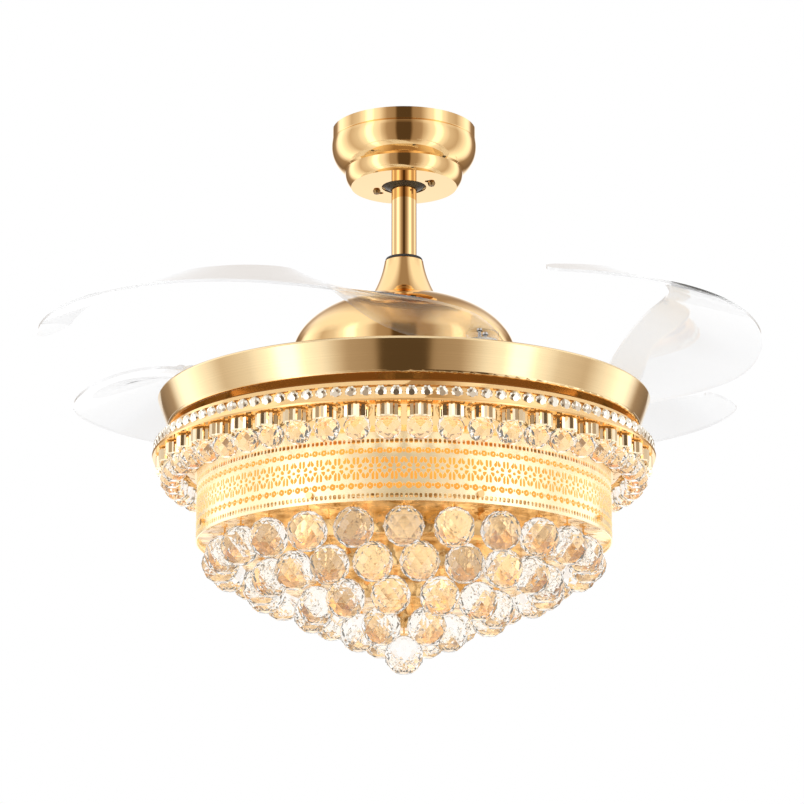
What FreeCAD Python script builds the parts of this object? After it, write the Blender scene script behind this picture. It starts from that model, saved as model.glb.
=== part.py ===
"""Ceiling fan whose four clear crescent blades fold over a tray above a crystal light.

The frame: millimetres, +Z up, z = 0 on the ceiling, the Z axis down the middle of the rod.
Everything hangs below the ceiling, so heights are negative.  The rest pose is the fan running,
with the blades swung out from their fold.
"""
import FreeCAD, Part
import os
from math import atan2, cos, degrees, exp, hypot, pi, radians, sin, sqrt, tan

V = FreeCAD.Vector

# General sheet, fit and clearance sizes
RUN = 0.3                   # gap between bodies that turn past each other
FIT = 0.05                  # radial clearance of a shaft, pin or bearing seat
SHEET = 1.5                 # spun gold metal
THIN = 1.2                  # light gold metal of the light kit

# Ceiling bracket
PLATE_LENGTH = 126.0
BRACKET_WIDTH = 40.0
STRAP = 2.0
CEILING_SCREW_SPACING = 88.9
CEILING_SCREW_R = 2.5
CEILING_SLOT = 12.0
LEG_X = 42.0                # outer face of the two legs
SEAT_Z = -46.0              # top of the plate that carries the ball
SEAT_R = 20.0
TONGUE_WIDTH = 4.0
TONGUE_LENGTH = 2.0

# Canopy
CANOPY_TOP_Z = -0.5
CANOPY_RIM_R = 76.6
CANOPY_BAND = 12.5          # height of the straight band under the ceiling
CANOPY_BULGE_R = 75.4
CANOPY_BULGE_Z = -31.0
CANOPY_STEP_R = 65.0
CANOPY_STEP_Z = -45.5
CANOPY_LOW_R = 62.8
CANOPY_BASE_R = 56.5
CANOPY_ROLL = 1.3           # how far the lowest roll draws in at its middle
CANOPY_BASE_Z = -64.0
CANOPY_HOLE_R = 23.8
CANOPY_SCREW_R = 2.0
CANOPY_SCREW_PCD = 64.0
CANOPY_SCREW_ANGLE = 156.0
CANOPY_POST_R = 4.5
CANOPY_KEY_R = 3.4          # keyhole beside each screw
CANOPY_KEY_TURN = -13.5

# Hanger ball and rod
BALL_R = 25.0
BALL_TOP = 20.0             # flats above and below the ball's middle
GROOVE_DEPTH = 2.0
ROD_R = 13.4
ROD_BORE = 11.2
ROD_TOP_Z = -16.0
ROD_BOTTOM_Z = -168.0
HANGER_PIN_R = 3.0
HANGER_PIN_LENGTH = 38.0

# Coupling under the rod
YOKE_TOP_Z = -150.5
YOKE_R = 18.2
YOKE_FLANGE_R = 27.5
YOKE_FLANGE = 6.0
YOKE_BOLT_R = 2.5
YOKE_BOLT_Z = -159.0
COVER_TOP_Z = -147.0
COVER_TOP_R = 20.6
COVER_BASE_R = 37.0
COVER_WAIST = 0.38          # how far out the cover has come at its middle
GASKET = 3.0

# Motor dome
DOME_TOP_Z = -190.0
DOME_FLAT_R = 38.0
DOME_ROOM = 17.5            # from the rotor's side out to the dome's outside
DOME_EQUATOR_Z = -252.0
DOME_EDGE_Z = -286.0
DOME_SCREW_R = 2.0
DOME_SCREW_PCD = 46.0

# Shaft and motor
SHAFT_R = 10.0
SHAFT_BORE = 6.0
SHAFT_TOP_Z = -171.0
BEARING_R = 21.0
BEARING_HEIGHT = 12.0
RACE = 3.0
UPPER_BEARING_Z = -214.0    # underside of each bearing
LOWER_BEARING_Z = -274.0
STATOR_R = 91.0
STATOR_HUB_R = 34.0
STATOR_TOP_Z = -232.0
STATOR_HEIGHT = 20.0
STATOR_TEETH = 12
POLE_SHOE = 6.0             # thickness of the face of each tooth
SLOT_OPENING = 5.0
TOOTH_WIDTH = 16.0
COIL = 7.0
COIL_CLEAR = 2.5            # from a winding to the pole shoe
AIR_GAP = 1.0
MAGNET = 5.0
MAGNET_COUNT = 14
MAGNET_GAP = 4.0            # between neighbours
ROTOR_WALL = 3.0
ROTOR_TOP_Z = -213.0
ROTOR_SHOULDER = 16.0
ROTOR_BASE_Z = -262.0
ROTOR_COVER = 4.0
BEARING_WALL = 6.0

# Blade tray, the gold ring that turns with the blades
TRAY_R = 257.0
TRAY_FLOOR_Z = -301.0
TRAY_RIM_BOTTOM_Z = -334.0
TRAY_RIM_TAPER = 10.5
TRAY_LIP = 26.5             # width of the lip that turns in under the rim
TRAY_EDGE_ROUND = 3.0
TRAY_HUB_HOLE_R = 30.0
TRAY_HUB_R = 66.0
TRAY_CONE_R = 104.0
TRAY_SCREW_COUNT = 6
TRAY_SCREW_PCD = 96.0
TRAY_SCREW_R = 2.5

# Blades and their pivots
BLADE_COUNT = 4
BLADE_STEP = 360.0 / BLADE_COUNT
PIVOT_INSET = 33.0          # from the tray's edge in to each pivot
FIRST_PIVOT = -70.0         # angle of the first pivot at rest
OPEN_ANGLE = 48.0           # swing from folded to the rest pose
BLADE_THICK = 3.0
BLADE_REF = 0.826           # radius that the pitch turns about, as a part of the pivots' radius
# folded blade, measured clockwise from its pivot about the fan's axis:
# angle, and radius of each edge as a part of the pivots' radius
BLADE_OUTER = [(-12, 1.054), (0, 1.076), (25, 1.080), (60, 1.045), (95, 1.030), (125, 1.042), (152, 1.055)]
BLADE_TIP = (156.5, 0.978)
BLADE_INNER = [(152, 0.900), (135, 0.820), (115, 0.745), (90, 0.652), (50, 0.547), (25, 0.558), (10, 0.652),
               (0, 0.804), (-12, 0.955)]
BLADE_TAIL = (-15.5, 1.018)
BLADE_LIFT = 46.0           # the folded blade climbs towards this height above its boss,
BLADE_LIFT_ANGLE = 55.0     # by two thirds of it in this angle
BLADE_PITCH = 0.45          # slope across the blade, which grows to this
BLADE_PITCH_ANGLE = 60.0    # over this angle
BOSS_R = 16.0
BOSS = 8.0
BOSS_TOP_Z = -286.0
PIVOT_FLANGE = 3.0
PIVOT_FLANGE_R = 15.0
PIVOT_POST_R = 10.0
PIVOT_R = 6.0
BUSH_FLANGE_R = 12.0
BUSH_FLANGE = 3.0
BUSH_R = 8.0
BUSH_BELOW = 2.0
BLADE_SCREW_R = 1.6
BLADE_SCREW_PITCH = 16.0

# Timing gear under the tray
MODULE = 2.0
PINION_TEETH = 12
GEAR_TOP_Z = -312.0
GEAR_THICK = 5.0
BACKLASH = 0.5
PRESSURE_ANGLE = 20.0
RING_ADDENDUM = 1.3
PINION_ADDENDUM = 1.6
DEDENDUM = 2.3
RING_WIDTH = 20.0
SECTOR_TEETH = 9
GUIDE_R = 3.0
GUIDE_HEAD_R = 7.0
GUIDE_HEAD = 3.0
GUIDE_TRAVEL = 4.6          # degrees each way that the guide slots allow
SPRING_R = 9.4
SPRING_WIRE = 0.9           # radius of the wire
SPRING_TURNS = 5

# Light chassis with its stud rim
CHASSIS_TOP_Z = -342.0
CHASSIS_EDGE = 8.5          # from the top of the stud rim in to the chassis's edge
CHASSIS_SHOULDER = 4.5
CHASSIS_SHOULDER_Z = -344.5
STUD_TOP_R = 254.5          # the light's size: the rest of it follows from this
STUD_TOP_Z = -350.0
STUD_FLARE = 5.9            # how far the stud rim widens to its lower edge
STUD_LOW_Z = -365.0
CHASSIS_LIP = 20.4
STUD_COUNT = 110
STUD_R = 6.2
STUD_HEIGHT = 4.5
COLLAR_R = 15.0
COLLAR = 6.0
NUT_R = 17.0
NUT = 7.0

# Crystal flare
FLARE_COUNT = 50
FLARE_INSET = 6.4               # from the stud rim's lower edge in to the top of the crystals' axis
FLARE_OVERHANG = 7.0            # from the openwork band out to the lower end of that axis
FLARE_TOP_Z = -374.0
FLARE_LOW_Z = -396.0
FLARE_SINK = 11.0               # from that axis to the metal that carries them
FLARE_FORM = [(0.0, 8.0), (0.12, 13.2), (0.44, 13.6), (0.50, 12.0), (0.60, 13.0), (0.86, 9.5), (1.0, 4.5)]
FLARE_SIDES = 8
FLARE_FLANGE = 26.4

# Filigree band
BAND_INSET = 39.5           # from the top of the stud rim in to the band
BAND_TOP_Z = -386.0
BAND_LOW_Z = -454.0
BAND_COLUMNS = 36
LOZENGE_HEIGHT = 20.0
LOZENGE_WIDTH = 17.0
PETAL_HEIGHT = 12.0
PETAL_WIDTH = 11.0
SQUARE = 5.0
SQUARE_INSET = 7.0
BAND_SCREWS = 8
BAND_SCREW_R = 1.6
BAND_KNOB_R = 3.4
BAND_KNOB = 3.5
SPIGOT = 7.0

# Stepped plate and its crystal balls: circle radius as a part of the band's, count, middle height,
# and angle of the first ball
BALL_DIAMETER = 41.0
TIERS = [(0.879, 24, -474.0, -90.0), (0.684, 20, -500.0, -84.0), (0.442, 12, -524.0, -98.0),
         (0.214, 6, -546.0, -60.0)]
DROP_Z = -569.0
HOOK = 6.0                      # from each step down to its ball
HOOK_R = 1.0
HOOK_CAP_R = 3.5
HOOK_CAP = 3.0
HOOK_SOCKET = 4.0
BALL_SIDES = 8
BALL_BELTS = (68.0, 40.0, 14.0)
STEP_CLEAR = 1.0

# Light source inside
BOARD_INSET = 23.0              # from the band in to the board
BOARD_WIDTH = 60.0
BOARD = 1.6
LED_COUNT = 24
LED = 5.0
LED_HEIGHT = 1.2
DIFFUSER_INSET = 7.0
DIFFUSER = 2.0
DIFFUSER_TOP_Z = -394.5
DRIVER_SIZE = (110.0, 42.0, 24.0)
DRIVER_Y = 62.0
CONTROL_SIZE = (92.0, 46.0, 22.0)
CONTROL_Y = -62.0
POST_R = 3.0
POST_COUNT = 4
POST_INSET = 16.0

# Worked-out places
PIVOT_RADIUS = TRAY_R - PIVOT_INSET
TRAY_LIP_R = TRAY_R - TRAY_RIM_TAPER - TRAY_LIP
STUD_LOW_R = STUD_TOP_R + STUD_FLARE
CHASSIS_R = STUD_TOP_R - CHASSIS_EDGE
CHASSIS_SHOULDER_R = STUD_TOP_R - CHASSIS_SHOULDER
CHASSIS_LIP_R = STUD_LOW_R - CHASSIS_LIP
BAND_R = STUD_TOP_R - BAND_INSET
FLARE_TOP = (STUD_LOW_R - FLARE_INSET, FLARE_TOP_Z)
FLARE_LOW = (BAND_R + FLARE_OVERHANG, FLARE_LOW_Z)
FLARE_FLANGE_R = STUD_LOW_R - FLARE_FLANGE
DIFFUSER_R = BAND_R - DIFFUSER_INSET
BOARD_R = BAND_R - BOARD_INSET
BOARD_BORE = BOARD_R - BOARD_WIDTH
LED_PCD = BOARD_R + BOARD_BORE
POST_PCD = 2 * (BAND_R - POST_INSET)
BALL_Z = SEAT_Z + sqrt((BALL_R + RUN) ** 2 - SEAT_R ** 2)
YOKE_BOTTOM_Z = DOME_TOP_Z
SHAFT_BOTTOM_Z = CHASSIS_TOP_Z - SHEET - NUT - 3.0
ROTOR_R = STATOR_R + AIR_GAP + MAGNET + ROTOR_WALL
DOME_R = ROTOR_R + DOME_ROOM
STATOR_BOTTOM_Z = STATOR_TOP_Z - STATOR_HEIGHT
TRAY_HUB_Z = ROTOR_BASE_Z - ROTOR_COVER
TRAY_UNDER_Z = TRAY_FLOOR_Z - SHEET
PIVOT_FLANGE_Z = BOSS_TOP_Z - BOSS
BUSH_TOP_Z = TRAY_FLOOR_Z + BUSH_FLANGE
GEAR_BOTTOM_Z = GEAR_TOP_Z - GEAR_THICK
PINION_PITCH_R = MODULE * PINION_TEETH / 2
RING_PITCH_R = PIVOT_RADIUS - PINION_PITCH_R
RING_TEETH = round(2 * RING_PITCH_R / MODULE)
BALL_TOP_GAP = BALL_DIAMETER / 2 * sin(radians(BALL_BELTS[0])) + HOOK
PLATE_Z = TIERS[0][2] + BALL_TOP_GAP


def polar(radius, angle, z=0.0):
    """The point at this radius and angle (degrees) round the fan's axis."""
    return V(radius * cos(radians(angle)), radius * sin(radians(angle)), z)


def disc(radius, bottom, top, x=0.0, y=0.0):
    """A plain upright cylinder."""
    return Part.makeCylinder(radius, top - bottom, V(x, y, bottom))


def tube(radius, bore, bottom, top):
    """An upright cylinder with a bore."""
    return disc(radius, bottom, top).cut(disc(bore, bottom - 1, top + 1))


def block(size_x, size_y, bottom, top, x=0.0, y=0.0):
    """A box centred on x and y."""
    return Part.makeBox(size_x, size_y, top - bottom, V(x - size_x / 2, y - size_y / 2, bottom))


def spin(shape, angle, pivot=(0.0, 0.0)):
    """A copy turned about an upright axis."""
    copy = shape.copy()
    copy.rotate(V(pivot[0], pivot[1], 0), V(0, 0, 1), angle)
    return copy


def ring_of(shape, count, start=0.0):
    """Copies of a shape spaced evenly round the fan's axis."""
    return [spin(shape, start + 360.0 * i / count) for i in range(count)]


def outline(points):
    """Edges through (radius, height) points; a point given as ("arc", r, z) bends the edge through it."""
    edges = []
    last = None
    middle = None
    for point in points:
        if point[0] == "arc":
            middle = V(point[1], 0, point[2])
            continue
        here = V(point[0], 0, point[1])
        if last is not None:
            edges.append(Part.Arc(last, middle, here).toShape() if middle else Part.makeLine(last, here))
        last = here
        middle = None
    return edges


def turned(points):
    """A solid of revolution from a closed (radius, height) outline."""
    wire = Part.Wire(outline(points + [points[0]]))
    return Part.Face(wire).revolve(V(0, 0, 0), V(0, 0, 1), 360)


def screw(x, y, seat, length, radius, head_r, up=True):
    """A pan-head screw whose head sits on the plane z = seat; its shank points up or down."""
    turn = 1 if up else -1
    head = Part.makeCone(head_r, head_r * 0.72, head_r * 0.7, V(x, y, seat), V(0, 0, -turn))
    shank = Part.makeCylinder(radius, length, V(x, y, seat), V(0, 0, turn))
    slot = Part.makeBox(head_r * 1.3, head_r * 0.28, head_r * 0.3)
    cross = []
    for angle in (0, 90):
        bar = slot.copy()
        bar.translate(V(-head_r * 0.65, -head_r * 0.14, -head_r * 0.15))
        bar.rotate(V(0, 0, 0), V(0, 0, 1), angle)
        bar.translate(V(x, y, seat - turn * head_r * 0.7))
        cross.append(bar)
    return head.fuse(shank).cut(cross).removeSplitter()


def faceted(rings):
    """A closed solid through parallel polygons, each a list of points, with flat ends."""
    faces = [Part.Face(Part.makePolygon(ring + [ring[0]])) for ring in (rings[0], rings[-1])]
    for low, high in zip(rings, rings[1:]):
        for i in range(len(low)):
            j = (i + 1) % len(low)
            faces.append(Part.Face(Part.makePolygon([low[i], low[j], high[j], high[i], low[i]])))
    solid = Part.Solid(Part.Shell(faces))
    if solid.Volume < 0:
        solid.reverse()
    return solid


def save(name, shape):
    """Write one node, a solid or a list of separate solids."""
    if isinstance(shape, list):
        shape = Part.makeCompound(shape)
    if not shape.isValid():
        print("not valid:", name)
    shape.exportStep("parts/%s.step" % name)


def mounting_bracket():
    """Steel strap with two ceiling slots, two legs and the plate that the ball sits in."""
    top = block(PLATE_LENGTH, BRACKET_WIDTH, -STRAP, 0)
    for side in (-1, 1):
        mid = side * CEILING_SCREW_SPACING / 2
        slot = block(CEILING_SLOT, 2 * CEILING_SCREW_R, -STRAP - 1, 1, mid)
        ends = [disc(CEILING_SCREW_R, -STRAP - 1, 1, mid + end * CEILING_SLOT / 2) for end in (-1, 1)]
        top = top.cut([slot] + ends)
    leg_mid = LEG_X - STRAP / 2
    legs = [block(STRAP, BRACKET_WIDTH, SEAT_Z - STRAP, 0, side * leg_mid) for side in (-1, 1)]
    seat = block(2 * LEG_X, BRACKET_WIDTH, SEAT_Z - STRAP, SEAT_Z)
    mouth = block(2 * ROD_R + 4 * RUN, BRACKET_WIDTH, SEAT_Z - STRAP - 1, SEAT_Z + 1, 0, BRACKET_WIDTH / 2)
    hole = disc(SEAT_R, SEAT_Z - STRAP - 1, SEAT_Z + 1)
    holes = [disc(CANOPY_SCREW_R, SEAT_Z - STRAP - 1, SEAT_Z + 1, p.x, p.y) for p in canopy_screw_places()]
    tongue = block(TONGUE_WIDTH, TONGUE_LENGTH + 2, SEAT_Z - STRAP, SEAT_Z, 0,
                   -SEAT_R + (TONGUE_LENGTH - 2) / 2)
    return top.fuse(legs + [seat.cut([hole, mouth] + holes), tongue]).removeSplitter()


def canopy_screw_places():
    """Where the two canopy screws stand."""
    return [polar(CANOPY_SCREW_PCD / 2, CANOPY_SCREW_ANGLE + turn) for turn in (0, 180)]


def canopy():
    """Spun gold bowl: straight band, bulge, step and flat underside."""
    top, base, wall = CANOPY_TOP_Z, CANOPY_BASE_Z, SHEET
    band = top - CANOPY_BAND
    outside = [
        (CANOPY_RIM_R, top),
        (CANOPY_RIM_R, band),
        (CANOPY_RIM_R - 0.8, band - 0.8),
        (CANOPY_RIM_R + 0.6, band - 2.0),
        ("arc", CANOPY_BULGE_R, CANOPY_BULGE_Z),
        (CANOPY_STEP_R, CANOPY_STEP_Z),
        (CANOPY_LOW_R, CANOPY_STEP_Z - 1.5),
        ("arc", CANOPY_LOW_R - CANOPY_ROLL, (CANOPY_STEP_Z + base) / 2 - 1.5),
        (CANOPY_BASE_R, base),
    ]
    inside = [
        (CANOPY_HOLE_R, base),
        (CANOPY_HOLE_R, base + wall),
        (CANOPY_BASE_R - wall * 0.6, base + wall),
        ("arc", CANOPY_LOW_R - CANOPY_ROLL - wall, (CANOPY_STEP_Z + base) / 2 - 1.5),
        (CANOPY_LOW_R - wall, CANOPY_STEP_Z - 1.5),
        (CANOPY_STEP_R - wall * 1.4, CANOPY_STEP_Z + wall),
        ("arc", CANOPY_BULGE_R - wall, CANOPY_BULGE_Z),
        (CANOPY_RIM_R - wall, band - 1.5),
        (CANOPY_RIM_R - wall, top),
    ]
    holes = []
    for p in canopy_screw_places():
        key = spin(disc(CANOPY_KEY_R, base - 1, base + wall + 1, p.x, p.y), CANOPY_KEY_TURN)
        holes += [disc(CANOPY_SCREW_R, base - 1, base + wall + 1, p.x, p.y), key]
    return turned(outside + inside).cut(holes)


def canopy_posts():
    """Hexagon spacers between the bracket and the canopy's underside."""
    posts = []
    low, high = CANOPY_BASE_Z + SHEET, SEAT_Z - STRAP
    for place in canopy_screw_places():
        corners = [place + polar(CANOPY_POST_R, 60 * i, low) for i in range(7)]
        hexagon = Part.Face(Part.makePolygon(corners)).extrude(V(0, 0, high - low))
        posts.append(hexagon.cut(disc(CANOPY_SCREW_R, low - 1, high + 1, place.x, place.y)))
    return posts


def canopy_screws():
    """Two screws from below through the canopy into the bracket."""
    length = SEAT_Z - CANOPY_BASE_Z + 2
    return [screw(p.x, p.y, CANOPY_BASE_Z, length, CANOPY_SCREW_R, CANOPY_SCREW_R * 2.1)
            for p in canopy_screw_places()]


def hanger_ball():
    """Nylon ball with flats, a bore for the rod, a cross hole and the groove that stops it turning."""
    ball = Part.makeSphere(BALL_R, V(0, 0, BALL_Z))
    ball = ball.common(block(4 * BALL_R, 4 * BALL_R, BALL_Z - BALL_TOP, BALL_Z + BALL_TOP))
    half = block(TONGUE_WIDTH + 2 * RUN, BALL_R, BALL_Z - BALL_R, BALL_Z + BALL_R, 0, -BALL_R / 2 - ROD_R)
    groove = half.cut(Part.makeSphere(BALL_R - GROOVE_DEPTH, V(0, 0, BALL_Z)))
    return ball.cut([disc(ROD_R, -200, 0), cross_bar(HANGER_PIN_R, HANGER_PIN_LENGTH, BALL_Z), groove])


def cross_bar(radius, length, z):
    """A level cylinder along X, centred on the rod's axis."""
    return Part.makeCylinder(radius, length, V(-length / 2, 0, z), V(1, 0, 0))


def downrod():
    """Gold tube with a cross hole at each end."""
    rod = tube(ROD_R, ROD_BORE, ROD_BOTTOM_Z, ROD_TOP_Z)
    cuts = [cross_bar(HANGER_PIN_R, 4 * ROD_R, BALL_Z), cross_bar(YOKE_BOLT_R, 4 * ROD_R, YOKE_BOLT_Z)]
    return rod.cut(cuts)


def coupling_yoke():
    """Collar that holds the rod, the motor shaft and the dome."""
    sleeve = disc(YOKE_R, YOKE_BOTTOM_Z, YOKE_TOP_Z)
    flange = disc(YOKE_FLANGE_R, YOKE_BOTTOM_Z, YOKE_BOTTOM_Z + YOKE_FLANGE)
    cuts = [disc(ROD_R, ROD_BOTTOM_Z, YOKE_TOP_Z + 1),
            disc(SHAFT_R, YOKE_BOTTOM_Z - 1, SHAFT_TOP_Z),
            disc(SHAFT_BORE, SHAFT_TOP_Z - 1, ROD_BOTTOM_Z + 1),
            cross_bar(YOKE_BOLT_R, 4 * YOKE_R, YOKE_BOLT_Z)]
    cuts += [disc(DOME_SCREW_R, YOKE_BOTTOM_Z - 1, YOKE_BOTTOM_Z + YOKE_FLANGE + 1, p.x, p.y)
             for p in dome_screw_places()]
    return sleeve.fuse(flange).cut(cuts).removeSplitter()


def dome_screw_places():
    """Three screws hold the dome under the yoke's flange."""
    return [polar(DOME_SCREW_PCD / 2, 30 + 120 * i) for i in range(3)]


def dome_screws():
    """Screws from below through the dome's flat top into the yoke."""
    return [screw(p.x, p.y, DOME_TOP_Z - SHEET, SHEET + YOKE_FLANGE, DOME_SCREW_R, DOME_SCREW_R * 2)
            for p in dome_screw_places()]


def yoke_bolt():
    """Cross pin through the yoke and rod, flush with the yoke."""
    return cross_bar(YOKE_BOLT_R, 2 * YOKE_R, YOKE_BOLT_Z)


def coupling_cover():
    """Trumpet-shaped gold cover that slides on the rod and rests on the dome."""
    base = DOME_TOP_Z
    mid_r = COVER_TOP_R + (COVER_BASE_R - COVER_TOP_R) * COVER_WAIST
    mid_z = COVER_TOP_Z + (base - COVER_TOP_Z) * 0.55
    outside = [(COVER_TOP_R - 1.0, COVER_TOP_Z), (COVER_TOP_R, COVER_TOP_Z - 1.0),
               ("arc", mid_r, mid_z), (COVER_BASE_R, base)]
    inside = [(COVER_BASE_R - THIN, base), (COVER_BASE_R - THIN - 1.4, base + 1.5),
              ("arc", mid_r - THIN, mid_z - 0.4), (COVER_TOP_R - THIN - 0.6, COVER_TOP_Z - 2.4),
              (ROD_R + FIT, COVER_TOP_Z - 2.4), (ROD_R + FIT, COVER_TOP_Z)]
    return turned(outside + inside)


def cover_gasket():
    """Dark rubber ring that closes the cover round the rod."""
    return turned([(ROD_R + FIT, COVER_TOP_Z), (COVER_TOP_R - 1.2, COVER_TOP_Z),
                   ("arc", COVER_TOP_R - 1.0, COVER_TOP_Z + GASKET * 0.5),
                   (COVER_TOP_R - 2.6, COVER_TOP_Z + GASKET), (ROD_R + FIT, COVER_TOP_Z + GASKET)])


def dome_solid(inset):
    """The dome as a full body, inset by a wall: flat top, elliptical shoulder and straight skirt."""
    equator = V(0, 0, DOME_EQUATOR_Z)
    drop = DOME_TOP_Z - DOME_EQUATOR_Z
    high = drop / sqrt(1 - (DOME_FLAT_R / DOME_R) ** 2) - inset
    ball = Part.makeSphere(DOME_R - inset)
    stretch = FreeCAD.Matrix()
    stretch.scale(1, 1, high / (DOME_R - inset))
    ball = ball.transformGeometry(stretch)
    ball.translate(equator)
    cap = ball.common(block(3 * DOME_R, 3 * DOME_R, DOME_EQUATOR_Z, DOME_TOP_Z - inset))
    skirt = disc(DOME_R - inset, DOME_EDGE_Z - (1 if inset else 0), DOME_EQUATOR_Z)
    return cap.fuse(skirt)


def motor_dome():
    """Spun gold motor cover, open below."""
    shell = dome_solid(0).cut(dome_solid(SHEET))
    holes = [disc(SHAFT_R, DOME_TOP_Z - 5, DOME_TOP_Z + 1)]
    holes += [disc(DOME_SCREW_R, DOME_TOP_Z - 5, DOME_TOP_Z + 1, p.x, p.y) for p in dome_screw_places()]
    return shell.cut(holes).removeSplitter()


def motor_shaft():
    """Hollow standing shaft with the collar that carries the light."""
    shaft = disc(SHAFT_R, SHAFT_BOTTOM_Z, SHAFT_TOP_Z)
    collar = disc(COLLAR_R, CHASSIS_TOP_Z, CHASSIS_TOP_Z + COLLAR)
    return shaft.fuse(collar).cut(disc(SHAFT_BORE, SHAFT_BOTTOM_Z - 1, SHAFT_TOP_Z + 1)).removeSplitter()


def bearing(bottom):
    """Sealed ball bearing: inner race, outer race and the seal between them."""
    top = bottom + BEARING_HEIGHT
    inner = tube(SHAFT_R + RACE, SHAFT_R, bottom, top)
    outer = tube(BEARING_R, BEARING_R - RACE, bottom, top)
    seal = tube(BEARING_R - RACE, SHAFT_R + RACE, bottom + 0.6, top - 0.6)
    return [inner, outer, seal]


def stator_core():
    """Laminated core: hub, twelve teeth and their pole shoes."""
    hub = tube(STATOR_HUB_R, SHAFT_R, STATOR_BOTTOM_Z, STATOR_TOP_Z)
    reach = STATOR_R - STATOR_HUB_R
    tooth = block(reach, TOOTH_WIDTH, STATOR_BOTTOM_Z, STATOR_TOP_Z, STATOR_HUB_R - 2 + reach / 2)
    face = tube(STATOR_R, STATOR_R - POLE_SHOE, STATOR_BOTTOM_Z, STATOR_TOP_Z)
    gap = block(4 * POLE_SHOE, SLOT_OPENING, STATOR_BOTTOM_Z - 1, STATOR_TOP_Z + 1, STATOR_R)
    gaps = ring_of(gap, STATOR_TEETH, 180 / STATOR_TEETH)
    return hub.fuse(ring_of(tooth, STATOR_TEETH) + [face.cut(gaps)]).removeSplitter()


def stator_coils():
    """A copper winding round each tooth."""
    start = STATOR_HUB_R + TOOTH_WIDTH
    end = STATOR_R - POLE_SHOE - COIL_CLEAR
    middle, depth = (start + end) / 2, end - start
    outer = block(depth, TOOTH_WIDTH + 2 * COIL, STATOR_BOTTOM_Z - COIL, STATOR_TOP_Z + COIL, middle)
    outer = outer.makeFillet(COIL * 0.6, [e for e in outer.Edges if abs(e.tangentAt(0).x) > 0.9])
    core = block(2 * depth, TOOTH_WIDTH, STATOR_BOTTOM_Z, STATOR_TOP_Z, middle)
    wedge_r = start * 2
    coil = outer.cut(core)
    side = tan(radians(180 / STATOR_TEETH)) * wedge_r - 0.6
    wedge = Part.makePolygon([V(0, 0, -400), V(wedge_r, side, -400), V(wedge_r, -side, -400), V(0, 0, -400)])
    coil = coil.common(Part.Face(wedge).extrude(V(0, 0, 400)))
    return ring_of(coil, STATOR_TEETH)


def rotor_shell():
    """Cast cup of the outer rotor, with the upper bearing's seat."""
    seat = BEARING_R + FIT
    boss = seat + BEARING_WALL
    bearing_top = UPPER_BEARING_Z + BEARING_HEIGHT
    wall = ROTOR_WALL
    inner = ROTOR_R - wall
    return turned([
        (seat, bearing_top), (boss, bearing_top), (boss, ROTOR_TOP_Z),
        (ROTOR_R - ROTOR_SHOULDER, ROTOR_TOP_Z), (ROTOR_R, ROTOR_TOP_Z - ROTOR_SHOULDER),
        (ROTOR_R, ROTOR_BASE_Z), (inner, ROTOR_BASE_Z), (inner, ROTOR_TOP_Z - ROTOR_SHOULDER - wall * 0.4),
        (inner - ROTOR_SHOULDER + wall * 0.4, ROTOR_TOP_Z - wall), (seat, ROTOR_TOP_Z - wall)])


def rotor_magnets():
    """Arc magnets on the inside of the rotor shell."""
    inner = STATOR_R + AIR_GAP
    full = tube(inner + MAGNET, inner, STATOR_BOTTOM_Z - 1, STATOR_TOP_Z + 1)
    gap = block(4 * MAGNET, MAGNET_GAP, STATOR_BOTTOM_Z - 2, STATOR_TOP_Z + 2, inner + MAGNET / 2)
    return full.cut(ring_of(gap, MAGNET_COUNT)).Solids


def rotor_cover():
    """Lower plate of the rotor with the lower bearing's seat."""
    seat = BEARING_R + FIT
    boss = seat + BEARING_WALL
    spigot = ROTOR_R - ROTOR_WALL
    top = ROTOR_BASE_Z
    return turned([
        (seat, LOWER_BEARING_Z), (boss, LOWER_BEARING_Z), (boss, TRAY_HUB_Z), (ROTOR_R, TRAY_HUB_Z),
        (ROTOR_R, top), (spigot, top), (spigot, top + 2), (spigot - 3, top + 2), (spigot - 3, top),
        (seat, top)]).cut(tray_screw_holes())


def tray_screw_places():
    """Six screws on a circle."""
    return [polar(TRAY_SCREW_PCD / 2, 360 * i / TRAY_SCREW_COUNT) for i in range(TRAY_SCREW_COUNT)]


def tray_screw_holes():
    """The holes of those screws."""
    return [disc(TRAY_SCREW_R, TRAY_HUB_Z - 5, ROTOR_BASE_Z + 5, p.x, p.y) for p in tray_screw_places()]


def tray_screws():
    """Screws from below through the tray's hub into the rotor."""
    return [screw(p.x, p.y, TRAY_HUB_Z - SHEET, SHEET + ROTOR_COVER, TRAY_SCREW_R, TRAY_SCREW_R * 1.9)
            for p in tray_screw_places()]


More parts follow.
